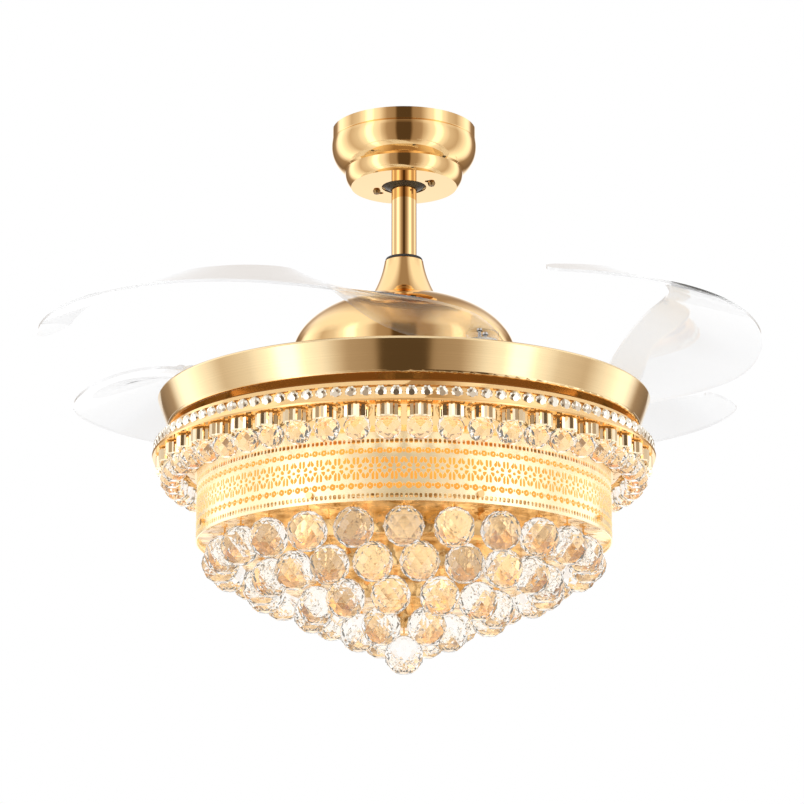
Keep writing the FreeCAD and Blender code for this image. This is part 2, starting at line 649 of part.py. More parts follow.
def blade_tray():
    """Spun gold dish turned upside down: raised hub, flat floor, tapered rim and rolled lip."""
    wall, edge = SHEET, TRAY_EDGE_ROUND
    hub, floor, low = TRAY_HUB_Z, TRAY_FLOOR_Z, TRAY_RIM_BOTTOM_Z
    rim_low = TRAY_R - TRAY_RIM_TAPER
    corner = edge * (1 - sqrt(0.5))
    outside = [(TRAY_HUB_HOLE_R, hub), (TRAY_HUB_R, hub), (TRAY_CONE_R, floor), (TRAY_R - edge, floor),
               ("arc", TRAY_R - corner, floor - corner), (TRAY_R, floor - edge), (rim_low, low + edge * 0.6),
               ("arc", rim_low - corner, low - corner * 0.6), (rim_low - edge, low - wall * 0.6)]
    lip = [(TRAY_LIP_R, low - wall), (TRAY_LIP_R, low), (rim_low - edge - wall, low + wall * 0.4),
           (rim_low - wall, low + edge + wall)]
    under = [(TRAY_R - wall, floor - edge - wall), (TRAY_R - edge - wall, floor - wall),
             (TRAY_CONE_R - wall * 0.6, floor - wall), (TRAY_HUB_R - wall * 0.6, hub - wall),
             (TRAY_HUB_HOLE_R, hub - wall)]
    tray = turned(outside + lip + under)
    holes = tray_screw_holes()
    holes += [disc(BUSH_R, floor - 5, floor + 5, p.x, p.y) for p in pivot_places()]
    holes += [disc(GUIDE_R, floor - 5, floor + 5, p.x, p.y) for p in guide_places()]
    return tray.cut(holes)


def pivot_places():
    """The four pivots at rest."""
    return [polar(PIVOT_RADIUS, FIRST_PIVOT + BLADE_STEP * i) for i in range(BLADE_COUNT)]


def pivot_bushes():
    """Flanged bushes of the blade pivots, in the tray's floor."""
    bushes = []
    for p in pivot_places():
        body = disc(BUSH_R, TRAY_UNDER_Z - BUSH_BELOW, BUSH_TOP_Z, p.x, p.y)
        flange = disc(BUSH_FLANGE_R, TRAY_FLOOR_Z, BUSH_TOP_Z, p.x, p.y)
        bore = disc(PIVOT_R + FIT, TRAY_UNDER_Z - 20, BUSH_TOP_Z + 1, p.x, p.y)
        bushes.append(body.fuse(flange).cut(bore).removeSplitter())
    return bushes


def blade_rise(angle):
    """Height of the folded blade above its boss, and its pitch, at this angle from the pivot."""
    past = max(0.0, angle)
    grown = min(1.0, past / BLADE_PITCH_ANGLE)
    return BLADE_LIFT * (1 - exp(-past / BLADE_LIFT_ANGLE)), BLADE_PITCH * grown * grown * (3 - 2 * grown)


def blade():
    """One folded blade about the fan's axis, with its pivot on the X axis: a pitched, rising sheet
    trimmed to a crescent, with a boss at the pivot."""
    middle = BOSS_TOP_Z - BOSS / 2
    near, far = PIVOT_RADIUS * 0.45, PIVOT_RADIUS * 1.2
    reference = PIVOT_RADIUS * BLADE_REF
    sections = []
    for angle in range(-20, 171, 10):
        rise, pitch = blade_rise(angle)
        corners = []
        for radius, side in ((near, -1), (far, -1), (far, 1), (near, 1)):
            height = middle + rise - pitch * (radius - reference) + side * BLADE_THICK / 2
            corners.append(polar(radius, -angle, height))
        sections.append(Part.makePolygon(corners + [corners[0]]))
    sheet = Part.makeLoft(sections, True, False)
    low = middle - PIVOT_RADIUS / 2
    outer = [polar(r * PIVOT_RADIUS, -a, low) for a, r in BLADE_OUTER]
    inner = [polar(r * PIVOT_RADIUS, -a, low) for a, r in BLADE_INNER]
    edges = []
    for points in (outer, inner):
        curve = Part.BSplineCurve()
        curve.interpolate(points)
        edges.append(curve.toShape())
    end = polar(BLADE_TIP[1] * PIVOT_RADIUS, -BLADE_TIP[0], low)
    tip = Part.Arc(outer[-1], end, inner[0]).toShape()
    back = polar(BLADE_TAIL[1] * PIVOT_RADIUS, -BLADE_TAIL[0], low)
    tail = Part.Arc(inner[-1], back, outer[0]).toShape()
    plan = Part.Face(Part.Wire([edges[0], tip, edges[1], tail])).extrude(V(0, 0, PIVOT_RADIUS))
    boss = disc(BOSS_R, PIVOT_FLANGE_Z, BOSS_TOP_Z, PIVOT_RADIUS)
    cut = [disc(BLADE_SCREW_R, PIVOT_FLANGE_Z - 1, BOSS_TOP_Z + 1, p.x, p.y) for p in blade_screw_places()]
    return sheet.common(plan).fuse(boss).cut(cut)


def blade_screw_places():
    """Two screws beside the pivot of the folded blade on the X axis."""
    return [V(PIVOT_RADIUS, side * BLADE_SCREW_PITCH / 2, 0) for side in (-1, 1)]


def blade_screws():
    """Screws from above through the blade's boss into the pivot's flange."""
    return [screw(p.x, p.y, BOSS_TOP_Z, BOSS + PIVOT_FLANGE, BLADE_SCREW_R, BLADE_SCREW_R * 2, up=False)
            for p in blade_screw_places()]


def involute_tooth(pitch_r, root_r, tip_r, middle, narrow):
    """Points of one gear tooth about an angle (degrees), from root to root, going anticlockwise."""
    base_r = pitch_r * cos(radians(PRESSURE_ANGLE))
    inv = tan(radians(PRESSURE_ANGLE)) - radians(PRESSURE_ANGLE)
    half = (pi * MODULE / 2 - narrow) / 2 / pitch_r
    flank = []
    for part in range(4):
        radius = max(base_r, root_r) + (tip_r - max(base_r, root_r)) * part / 3
        bend = sqrt(max(0.0, (radius / base_r) ** 2 - 1))
        flank.append((radius, degrees(half + inv - (bend - atan2(bend, 1)))))
    if root_r < base_r:
        flank.insert(0, (root_r, flank[0][1]))
    right = [polar(r, middle - a) for r, a in flank]
    left = [polar(r, middle + a) for r, a in reversed(flank)]
    return right + left


def toothed_disc(points, bottom, top):
    """A prism on a closed outline of points."""
    raised = [V(p.x, p.y, bottom) for p in points]
    return Part.Face(Part.makePolygon(raised + [raised[0]])).extrude(V(0, 0, top - bottom))


def pivot():
    """Pivot of a folded blade on the X axis: flanged post and pin, and the pinion pressed on it."""
    x = PIVOT_RADIUS
    low = GEAR_BOTTOM_Z - 2
    post_low = BUSH_TOP_Z + RUN
    pin = disc(PIVOT_R, low, PIVOT_FLANGE_Z, x)
    post = disc(PIVOT_POST_R, post_low, PIVOT_FLANGE_Z, x)
    flange = disc(PIVOT_FLANGE_R, PIVOT_FLANGE_Z - PIVOT_FLANGE, PIVOT_FLANGE_Z, x)
    holes = [disc(BLADE_SCREW_R, PIVOT_FLANGE_Z - PIVOT_FLANGE - 1, PIVOT_FLANGE_Z + 1, p.x, p.y)
             for p in blade_screw_places()]
    pin = pin.fuse([post, flange]).cut(holes).removeSplitter()
    pitch = 360 / PINION_TEETH
    points = []
    for i in range(PINION_TEETH):
        facing = 180 - OPEN_ANGLE + pitch / 2 + pitch * i
        points += involute_tooth(PINION_PITCH_R, PINION_PITCH_R - DEDENDUM,
                                 PINION_PITCH_R + PINION_ADDENDUM, facing, BACKLASH)
    pinion = toothed_disc(points, GEAR_BOTTOM_Z, GEAR_TOP_Z)
    pinion.translate(V(x, 0, 0))
    hub = disc(SPRING_R - SPRING_WIRE - 2 * RUN, GEAR_TOP_Z, TRAY_UNDER_Z - BUSH_BELOW - RUN, x)
    pinion = pinion.fuse(hub).cut(disc(PIVOT_R, low - 1, 0, x)).removeSplitter()
    return [pin, pinion]


def swing_out(shapes, index):
    """Move folded pieces on the X axis to blade `index` at rest."""
    moved = []
    for shape in shapes:
        opened = spin(shape, OPEN_ANGLE, (PIVOT_RADIUS, 0))
        moved.append(spin(opened, FIRST_PIVOT + BLADE_STEP * index))
    return moved


def guide_places():
    """Guide studs of the timing ring, midway between the pivots."""
    middle = guide_circle()
    return [polar(middle, FIRST_PIVOT + BLADE_STEP * (i + 0.5)) for i in range(BLADE_COUNT)]


def guide_circle():
    """Radius of the timing ring's middle line."""
    return RING_PITCH_R - DEDENDUM - RING_WIDTH / 2


def guide_studs():
    """Shouldered studs riveted in the tray that carry the timing ring."""
    studs = []
    for p in guide_places():
        neck = disc(GUIDE_R, GEAR_BOTTOM_Z - RUN - GUIDE_HEAD, TRAY_FLOOR_Z, p.x, p.y)
        head = disc(GUIDE_HEAD_R, GEAR_BOTTOM_Z - RUN - GUIDE_HEAD, GEAR_BOTTOM_Z - RUN, p.x, p.y)
        shoulder = disc(GUIDE_HEAD_R, GEAR_TOP_Z + RUN, TRAY_UNDER_Z, p.x, p.y)
        studs.append(neck.fuse([head, shoulder]).removeSplitter())
    return studs


def timing_ring():
    """Flat ring with four toothed sectors that keep the blades in step, and four guide slots."""
    root = RING_PITCH_R - DEDENDUM
    ring = tube(root, root - RING_WIDTH, GEAR_BOTTOM_Z, GEAR_TOP_Z)
    pitch = 360 / RING_TEETH
    sector = []
    for i in range(SECTOR_TEETH):
        angle = FIRST_PIVOT + (i - SECTOR_TEETH // 2) * pitch
        tooth = involute_tooth(RING_PITCH_R, root - 1.0, RING_PITCH_R + RING_ADDENDUM, angle, BACKLASH)
        sector.append(toothed_disc(tooth, GEAR_BOTTOM_Z, GEAR_TOP_Z))
    teeth = []
    for turn in range(BLADE_COUNT):
        teeth += [spin(tooth, BLADE_STEP * turn) for tooth in sector]
    width = GUIDE_R + RUN
    middle = guide_circle()
    slots = []
    for i in range(BLADE_COUNT):
        centre = FIRST_PIVOT + BLADE_STEP * (i + 0.5)
        arc = tube(middle + width, middle - width, GEAR_BOTTOM_Z - 1, GEAR_TOP_Z + 1)
        reach = 2 * middle
        sides = [polar(reach, centre - GUIDE_TRAVEL), polar(reach, centre + GUIDE_TRAVEL)]
        wedge = toothed_disc([V(0, 0, 0)] + sides, GEAR_BOTTOM_Z - 1, GEAR_TOP_Z + 1)
        slots.append(arc.common(wedge))
        for side in (-1, 1):
            end = polar(middle, centre + side * GUIDE_TRAVEL)
            slots.append(disc(width, GEAR_BOTTOM_Z - 1, GEAR_TOP_Z + 1, end.x, end.y))
    return ring.fuse(teeth).cut(slots).removeSplitter()


def return_springs():
    """Close-wound torsion springs round the pivots, between the tray's floor and the pinions."""
    low = GEAR_TOP_Z + RUN
    inner, outer = SPRING_R - SPRING_WIRE, SPRING_R + SPRING_WIRE
    pitch = (TRAY_UNDER_Z - low) / SPRING_TURNS
    points = [(inner, low), (SPRING_R, low)]
    for turn in range(SPRING_TURNS):
        z = low + pitch * turn
        points += [("arc", outer, z + pitch / 2), (SPRING_R, z + pitch)]
    points.append((inner, TRAY_UNDER_Z))
    coil = turned(points)
    springs = []
    for p in pivot_places():
        copy = coil.copy()
        copy.translate(V(p.x, p.y, 0))
        springs.append(copy)
    return springs


def light_chassis():
    """Gold pan of the light: flat top, shoulder, flared stud rim and inward lip."""
    wall = SHEET
    top = CHASSIS_TOP_Z
    outside = [(SHAFT_R, top), (CHASSIS_R, top), (CHASSIS_SHOULDER_R, CHASSIS_SHOULDER_Z),
               (CHASSIS_SHOULDER_R + 1.0, STUD_TOP_Z + 1.0), (STUD_TOP_R + 1.5, STUD_TOP_Z),
               (STUD_TOP_R, STUD_TOP_Z - 1.0), (STUD_LOW_R - 0.6, STUD_LOW_Z + 1.0),
               (STUD_LOW_R + 1.5, STUD_LOW_Z), (STUD_LOW_R + 0.6, STUD_LOW_Z - wall)]
    inside = [(CHASSIS_LIP_R, STUD_LOW_Z - wall), (CHASSIS_LIP_R, STUD_LOW_Z),
              (STUD_LOW_R - wall * 1.6, STUD_LOW_Z), (STUD_TOP_R - wall * 1.2, STUD_TOP_Z - wall),
              (CHASSIS_SHOULDER_R - wall, CHASSIS_SHOULDER_Z - wall * 0.5), (CHASSIS_R - 1.0, top - wall),
              (SHAFT_R, top - wall)]
    return turned(outside + inside)


def stud_crystals():
    """Row of small cut studs set on the flared rim."""
    low, high = (STUD_LOW_R, STUD_LOW_Z), (STUD_TOP_R, STUD_TOP_Z)
    lean = degrees(atan2(low[0] - high[0], high[1] - low[1]))
    middle_r, middle_z = (low[0] + high[0]) / 2, (low[1] + high[1]) / 2
    rings = []
    for reach, radius in ((-2.0, STUD_R), (1.2, STUD_R), (STUD_HEIGHT, STUD_R * 0.5)):
        rings.append([V(reach, radius * cos(radians(60 * i + 30)), radius * sin(radians(60 * i + 30)))
                      for i in range(6)])
    stud = faceted(rings)
    stud.rotate(V(0, 0, 0), V(0, 1, 0), lean)
    stud.translate(V(middle_r, 0, middle_z))
    rim = turned([(0, STUD_TOP_Z + 40), (STUD_TOP_R, STUD_TOP_Z + 40), (STUD_TOP_R, STUD_TOP_Z - 1.0),
                  (STUD_LOW_R - 0.6, STUD_LOW_Z + 1.0), (STUD_LOW_R, STUD_LOW_Z - 40), (0, STUD_LOW_Z - 40)])
    return ring_of(stud.cut(rim), STUD_COUNT)


def shaft_nut():
    """Hexagon nut that clamps the light chassis under the shaft's collar."""
    top = CHASSIS_TOP_Z - SHEET
    corners = [polar(NUT_R, 60 * i, top - NUT) for i in range(7)]
    hexagon = Part.Face(Part.makePolygon(corners)).extrude(V(0, 0, NUT))
    return hexagon.cut(disc(SHAFT_R, top - NUT - 1, top + 1))


def flare_axis():
    """Unit vectors along the flare crystals and out of their band, in radius and height."""
    run = (FLARE_LOW[0] - FLARE_TOP[0], FLARE_LOW[1] - FLARE_TOP[1])
    length = hypot(*run)
    along = (run[0] / length, run[1] / length)
    return length, along, (-along[1], along[0])


def flare_line(depth, extend=0.0):
    """Ends of the line that lies `depth` under the crystals' axis, lengthened at both ends."""
    length, along, out = flare_axis()
    ends = []
    for place, turn in ((FLARE_TOP, -1), (FLARE_LOW, 1)):
        ends.append((place[0] - depth * out[0] + turn * extend * along[0],
                     place[1] - depth * out[1] + turn * extend * along[1]))
    return ends


def flare_band():
    """Gold cone that carries the flare crystals, with a flange on top and a spigot below."""
    outer, inner = flare_line(FLARE_SINK), flare_line(FLARE_SINK + THIN)
    flange_z = STUD_LOW_Z - SHEET
    slope = (outer[1][0] - outer[0][0]) / (outer[1][1] - outer[0][1])

    def on_outer(z, line):
        return line[0][0] + slope * (z - line[0][1])

    spigot_r = BAND_R - THIN
    return turned([
        (FLARE_FLANGE_R, flange_z), (on_outer(flange_z, outer), flange_z),
        (on_outer(BAND_TOP_Z, outer), BAND_TOP_Z), (spigot_r, BAND_TOP_Z), (spigot_r, BAND_TOP_Z - SPIGOT),
        (spigot_r - THIN, BAND_TOP_Z - SPIGOT), (spigot_r - THIN, BAND_TOP_Z + THIN),
        (on_outer(BAND_TOP_Z + THIN, inner), BAND_TOP_Z + THIN),
        (on_outer(flange_z - THIN, inner), flange_z - THIN), (FLARE_FLANGE_R, flange_z - THIN)])


def flare_crystals():
    """Cut crystals round the flare: a fluted cap above a rounded, faceted drop."""
    length, along, out = flare_axis()
    rings = []
    for part, radius in FLARE_FORM:
        middle = V(FLARE_TOP[0] + along[0] * length * part, 0, FLARE_TOP[1] + along[1] * length * part)
        ring = []
        for i in range(FLARE_SIDES):
            angle = 2 * pi * (i + 0.5) / FLARE_SIDES
            ring.append(middle + V(out[0] * cos(angle), 0, out[1] * cos(angle)) * radius
                        + V(0, sin(angle) * radius, 0))
        rings.append(ring)
    crystal = faceted(rings)
    line = flare_line(FLARE_SINK, 30.0)
    cone = turned([(0, line[0][1]), line[0], line[1], (0, line[1][1])])
    return ring_of(crystal.cut(cone), FLARE_COUNT)


def window(width, height, angle, z):
    """A lozenge-shaped prism through the band at this angle and height."""
    points = [V(BAND_R - 8, width / 2, z), V(BAND_R - 8, 0, z + height / 2),
              V(BAND_R - 8, -width / 2, z), V(BAND_R - 8, 0, z - height / 2)]
    prism = Part.Face(Part.makePolygon(points + [points[0]])).extrude(V(16, 0, 0))
    return spin(prism, angle)


def filigree_band():
    """Openwork gold band: lozenges between two belts of smaller ones, and square holes at its lower rim."""
    band = tube(BAND_R, BAND_R - THIN, BAND_LOW_Z, BAND_TOP_Z)
    middle = (BAND_TOP_Z - SPIGOT + BAND_LOW_Z + SQUARE_INSET) / 2
    step = 360 / BAND_COLUMNS
    rise = LOZENGE_HEIGHT / 2 + 1.0
    windows = []
    for i in range(BAND_COLUMNS):
        angle = FIRST_PIVOT + step * i
        windows.append(window(LOZENGE_WIDTH, LOZENGE_HEIGHT, angle, middle))
        for side in (-1, 1):
            windows.append(window(PETAL_WIDTH, PETAL_HEIGHT, angle + step / 2, middle + side * rise))
        if i % (BAND_COLUMNS // BAND_SCREWS + 1):
            windows.append(window(SQUARE, SQUARE, angle + step / 2, BAND_LOW_Z + 3.4))
    holes = [Part.makeCylinder(BAND_SCREW_R, 20, polar(BAND_R - 10, a, band_screw_z()), polar(1, a))
             for a in band_screw_angles()]
    return band.cut(windows + holes)


def band_screw_angles():
    """The band's screws."""
    return [FIRST_PIVOT + 360 * i / BAND_SCREWS for i in range(BAND_SCREWS)]


def band_screw_z():
    """Their height, at the middle of the stepped plate's rim."""
    return PLATE_Z + SPIGOT / 2


def band_screws():
    """Small round knobs that hold the band on the stepped plate's rim."""
    knobs = []
    for a in band_screw_angles():
        reach = 2 * THIN + 3
        pin = Part.makeCylinder(BAND_SCREW_R, reach, polar(BAND_R - reach, a, band_screw_z()), polar(1, a))
        seat = polar(BAND_R + 0.05, a, band_screw_z())
        knob = Part.makeCylinder(BAND_KNOB_R, BAND_KNOB, seat, polar(1, a))
        knobs.append(pin.fuse([Part.makeCylinder(BAND_SCREW_R, 1, polar(BAND_R - 0.5, a, band_screw_z()),
                                                 polar(1, a)), knob]).removeSplitter())
    return knobs


def tier_steps():
    """Height of each step of the plate and the radius of the wall inside it."""
    reach = BALL_DIAMETER / 2
    steps = [(circle * BAND_R - reach - STEP_CLEAR, z + BALL_TOP_GAP) for circle, count, z, start in TIERS]
    return steps, DROP_Z + BALL_TOP_GAP


def crystal_plate():
    """Stepped gold plate that the balls hang under, with a rim inside the band."""
    steps, bottom = tier_steps()
    rim = BAND_R - THIN
    low = [(rim, PLATE_Z + SPIGOT), (rim, PLATE_Z)]
    high = [(rim - THIN, PLATE_Z + SPIGOT), (rim - THIN, PLATE_Z + THIN)]
    floors = [z for radius, z in steps[1:]] + [bottom]
    for (radius, z), below in zip(steps, floors):
        low += [(radius, z), (radius, below)]
        high += [(radius - THIN, z + THIN), (radius - THIN, below + THIN)]
    low.append((0, bottom))
    high.append((0, bottom + THIN))
    plate = turned(low + list(reversed(high)))
    holes = [Part.makeCylinder(BAND_SCREW_R, 20, polar(BAND_R - 10, a, band_screw_z()), polar(1, a))
             for a in band_screw_angles()]
    pins = [disc(HOOK_R, z - 1, z + THIN + 1, p.x, p.y) for p, z in hook_places()]
    return plate.cut(holes + pins)


def ball_places(tier):
    """Middles of the balls of one tier."""
    circle, count, z, start = TIERS[tier]
    return [polar(circle * BAND_R, start + 360 * i / count, z) for i in range(count)]


def hook_places():
    """Where each hook meets the stepped plate."""
    places = []
    for tier in range(len(TIERS)):
        places += [(p, p.z + BALL_TOP_GAP) for p in ball_places(tier)]
    places.append((V(0, 0, DROP_Z), DROP_Z + BALL_TOP_GAP))
    return places


def ball_hooks():
    """Pins with a cap, one for each ball, from the plate down into the ball."""
    hooks = []
    for p, z in hook_places():
        pin = disc(HOOK_R, z - HOOK - HOOK_SOCKET, z + THIN + 1, p.x, p.y)
        cap = disc(HOOK_CAP_R, z - HOOK, z - HOOK + HOOK_CAP, p.x, p.y)
        hooks.append(pin.fuse(cap).removeSplitter())
    return hooks


def crystal_ball():
    """One cut ball about the origin, with a socket for its hook."""
    radius = BALL_DIAMETER / 2
    rings = []
    for latitude in [-a for a in BALL_BELTS] + list(reversed(BALL_BELTS)):
        belt, z = radius * cos(radians(latitude)), radius * sin(radians(latitude))
        rings.append([polar(belt, 360 * i / BALL_SIDES, z) for i in range(BALL_SIDES)])
    top = radius * sin(radians(BALL_BELTS[0]))
    return faceted(rings).cut(disc(HOOK_R, top - HOOK_SOCKET, top + 1))


def balls_at(places):
    """Copies of the ball at these places."""
    master = crystal_ball()
    balls = []
    for p in places:
        ball = spin(master, degrees(atan2(p.y, p.x)))
        ball.translate(p)
        balls.append(ball)
    return balls


def led_board():
    """Aluminium ring board under the chassis, with its lamps."""
    top = CHASSIS_TOP_Z - SHEET
    return tube(BOARD_R, BOARD_BORE, top - BOARD, top)


def led_chips():
    """Square lamps on the board."""
    top = CHASSIS_TOP_Z - SHEET - BOARD
    return ring_of(block(LED, LED, top - LED_HEIGHT, top, LED_PCD / 2), LED_COUNT, 180 / LED_COUNT)


def supply_box(size, y):
    """Closed box under the chassis, rounded on its upright edges."""
    top = CHASSIS_TOP_Z - SHEET
    box = block(size[0], size[1], top - size[2], top, 0, y)
    return box.makeFillet(4.0, [e for e in box.Edges if abs(e.tangentAt(0).z) > 0.9])


def light_diffuser():
    """White acrylic sleeve behind the openwork, standing on the stepped plate."""
    return tube(DIFFUSER_R, DIFFUSER_R - DIFFUSER, PLATE_Z + THIN, DIFFUSER_TOP_Z)


def plate_posts():
    """Rods that hang the stepped plate from the chassis."""
    post = disc(POST_R, PLATE_Z + THIN, CHASSIS_TOP_Z - SHEET, POST_PCD / 2)
    return ring_of(post, POST_COUNT, 45)


def main():
    """Build every node and write it."""
    os.makedirs("parts", exist_ok=True)
    save("mounting_bracket", mounting_bracket())
    save("canopy", canopy())
    save("canopy_posts", canopy_posts())
    save("canopy_screws", canopy_screws())
    save("hanger_ball", hanger_ball())
    save("hanger_pin", cross_bar(HANGER_PIN_R, HANGER_PIN_LENGTH, BALL_Z))
    save("downrod", downrod())
    save("coupling_yoke", coupling_yoke())
    save("yoke_bolt", yoke_bolt())
    save("coupling_cover", coupling_cover())
    save("cover_gasket", cover_gasket())
    save("motor_dome", motor_dome())
    save("dome_screws", dome_screws())
    save("motor_shaft", motor_shaft())
    save("upper_bearing", bearing(UPPER_BEARING_Z))
    save("lower_bearing", bearing(LOWER_BEARING_Z))
    save("stator_core", stator_core())
    save("stator_coils", stator_coils())
    save("rotor_shell", rotor_shell())
    save("rotor_magnets", rotor_magnets())
    save("rotor_cover", rotor_cover())
    save("blade_tray", blade_tray())
    save("tray_screws", tray_screws())
    save("pivot_bushes", pivot_bushes())
    save("guide_studs", guide_studs())
    save("return_springs", return_springs())
    save("timing_ring", timing_ring())
    folded_blade, folded_pivot, folded_screws = [blade()], pivot(), blade_screws()
    for index in range(BLADE_COUNT):
        number = index + 1
        save("blade_%d" % number, swing_out(folded_blade, index)[0])
        save("pivot_%d" % number, swing_out(folded_pivot, index))
        save("blade_screws_%d" % number, swing_out(folded_screws, index))
    save("light_chassis", light_chassis())
    save("stud_crystals", stud_crystals())
    save("shaft_nut", shaft_nut())
    save("flare_band", flare_band())
    save("flare_crystals", flare_crystals())
    save("filigree_band", filigree_band())
    save("band_screws", band_screws())
    save("light_diffuser", light_diffuser())
    save("led_board", led_board())
    save("led_chips", led_chips())
    save("led_driver", supply_box(DRIVER_SIZE, DRIVER_Y))
    save("controller_box", supply_box(CONTROL_SIZE, CONTROL_Y))
    save("plate_posts", plate_posts())
    save("crystal_plate", crystal_plate())
    save("ball_hooks", ball_hooks())
    for tier in range(len(TIERS)):
        save("crystal_tier_%d" % (tier + 1), balls_at(ball_places(tier)))
    save("crystal_drop", balls_at([V(0, 0, DROP_Z)])[0])


main()
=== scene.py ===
"""Looks of a gold ceiling fan with folding clear blades and a crystal light, dressed on its fixed frame."""
import math

import bmesh
import bpy
from bpy.props import FloatProperty, FloatVectorProperty, IntProperty, PointerProperty
from mathutils import Matrix, Vector


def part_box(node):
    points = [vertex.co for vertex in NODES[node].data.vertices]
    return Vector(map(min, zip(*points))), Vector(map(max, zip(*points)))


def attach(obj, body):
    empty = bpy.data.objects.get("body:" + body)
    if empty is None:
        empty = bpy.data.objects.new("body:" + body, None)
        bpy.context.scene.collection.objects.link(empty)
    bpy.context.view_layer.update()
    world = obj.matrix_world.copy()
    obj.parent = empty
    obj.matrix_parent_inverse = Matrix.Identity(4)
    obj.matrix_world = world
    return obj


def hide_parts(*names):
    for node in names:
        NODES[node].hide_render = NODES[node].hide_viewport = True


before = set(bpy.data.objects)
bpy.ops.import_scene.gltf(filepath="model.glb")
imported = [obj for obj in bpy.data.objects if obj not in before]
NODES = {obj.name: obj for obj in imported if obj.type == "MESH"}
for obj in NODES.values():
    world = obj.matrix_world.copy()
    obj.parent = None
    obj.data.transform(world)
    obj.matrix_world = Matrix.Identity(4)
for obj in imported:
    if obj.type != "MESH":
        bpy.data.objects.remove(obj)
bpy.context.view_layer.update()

bl_info = {
    "name": "Crystal ceiling fan",
    "version": (1, 0, 0),
    "blender": (4, 5, 0),
    "location": "3D View > Sidebar > Fan",
    "description": "Dresses a ceiling fan with folding blades and a crystal light",
    "category": "Object",
}

# Places on the frame, in metres
LIGHT_BODY = "hanging_fan"
BALL_TIERS = (
    ("crystal_tier_1", 0.189, 24, -90.0),
    ("crystal_tier_2", 0.147, 20, -84.0),
    ("crystal_tier_3", 0.095, 12, -98.0),
    ("crystal_tier_4", 0.046, 6, -60.0),
    ("crystal_drop", 0.0, 1, 0.0),
)
BALL_FLAT = math.radians(68.0)
BALL_TWIST = 37.0
CAP_CIRCLE, CAP_TOP, CAP_LOW, CAP_RADIUS, CAP_EDGE = 0.2455, -0.3672, -0.3805, 0.0128, 0.0012
CAP_BACK, FLUTE_SHARE = -0.2 * CAP_RADIUS, 0.88
DROP_CIRCLE, DROP_MIDDLE, DROP_RADIUS = 0.2405, -0.3868, 0.0134
DROP_BACK, DROP_SIDES = -0.8 * DROP_RADIUS, 8
DROP_LATITUDES = (28.0, 4.0, -20.0, -44.0, -68.0)
BOOT_RADIUS, BOOT_RIM, BOOT_BORE, BOOT_WALL = 0.0393, 0.0258, 0.0142, 0.0012
STUD_MIDDLE = Vector((0.2572, 0.0, -0.3575))
STUD_LEAN = math.radians(21.5)
STUD_SIDES = 10
STUD_RINGS = ((0.0026, 0.45), (0.0012, 0.82), (-0.0012, 1.0), (-0.0036, 0.96))

# Distances within which points count as one
TOUCH = 1e-6
COLUMN_TOUCH = 1e-5
RING_TOUCH = 2e-5

# The openwork's pattern: heights are shares of the band from its foot, hole sizes are in metres
RIM_LOW, DOTS_LOW, LINE_LOW = 0.05, 0.11, 0.15
LINE_HIGH, DOTS_HIGH, RIM_HIGH = 0.80, 0.84, 0.90
DOTS_ACROSS, DOT_HALF = 4, 0.26
PATTERN_MIDDLE, LOZENGE_RISE = 0.475, 0.19
EYE_SHARE, WEB_SHARE, FRAME_SHARE = 0.56, 0.92, 1.12
EYE_RADIUS, RIB_HALF, RIB_SLOPE = 0.0014, 0.0009, 0.12
CURL_ACROSS, CURL_UP, CURL_RADIUS = 0.25, 0.255, 0.0038
CURL_INNER, CURL_OUTER = 0.0012, 0.0028
PIERCING_UP, PIERCING_RADIUS = 0.25, 0.0013
SLOT_ACROSS, SLOT_LOW, SLOT_HIGH, SLOT_RIB = 0.33, 0.05, 0.16, 0.0008
SEAM_COLUMNS = 3
SMOOTH_ROUNDS = 3

# The photograph's camera, worked out from the fan's circles
CAMERA_PLACE = (0.0, -2.872, -1.045)
CAMERA_PITCH = math.radians(14.52)
FOCAL_PIXELS = 2831.0
FRAME_PIXELS = 804.0
AXIS_PIXEL = 404.0
SENSOR = 36.0
FLOOR_Z = -7.5
FLOOR_WIDTH = 300.0

# The studio: levels of light by bearing, from the side behind the camera round to the far side
WALL_PANELS = (
    (0.060, 0.05), (0.080, 0.19), (0.150, 0.23), (0.225, 0.52), (0.270, 0.64), (0.295, 1.0),
    (0.335, 1.0), (0.365, 0.64), (0.430, 0.42), (0.520, 0.33), (0.590, 0.54), (0.660, 0.78),
    (0.700, 0.74), (0.770, 0.19), (0.870, 0.11), (0.930, 0.57),
)
WALL_LEVEL, CEILING_LEVEL, GROUND_LEVEL = 2.2, 1.25, 1.1
GLASS_LEVEL, PLAIN_LEVEL = 0.94, 0.55
DIM_TINT = (1.0, 0.66, 0.36)
LAMPS = (
    ("key", (-1.9, -2.2, 0.9), 1.8, 42.0),
    ("fill", (2.2, -1.9, 0.4), 1.8, 30.0),
    ("under", (0.0, -1.2, -1.40), 1.4, 8.0),
)
LAMP_AIM = Vector((0.0, 0.0, -0.35))


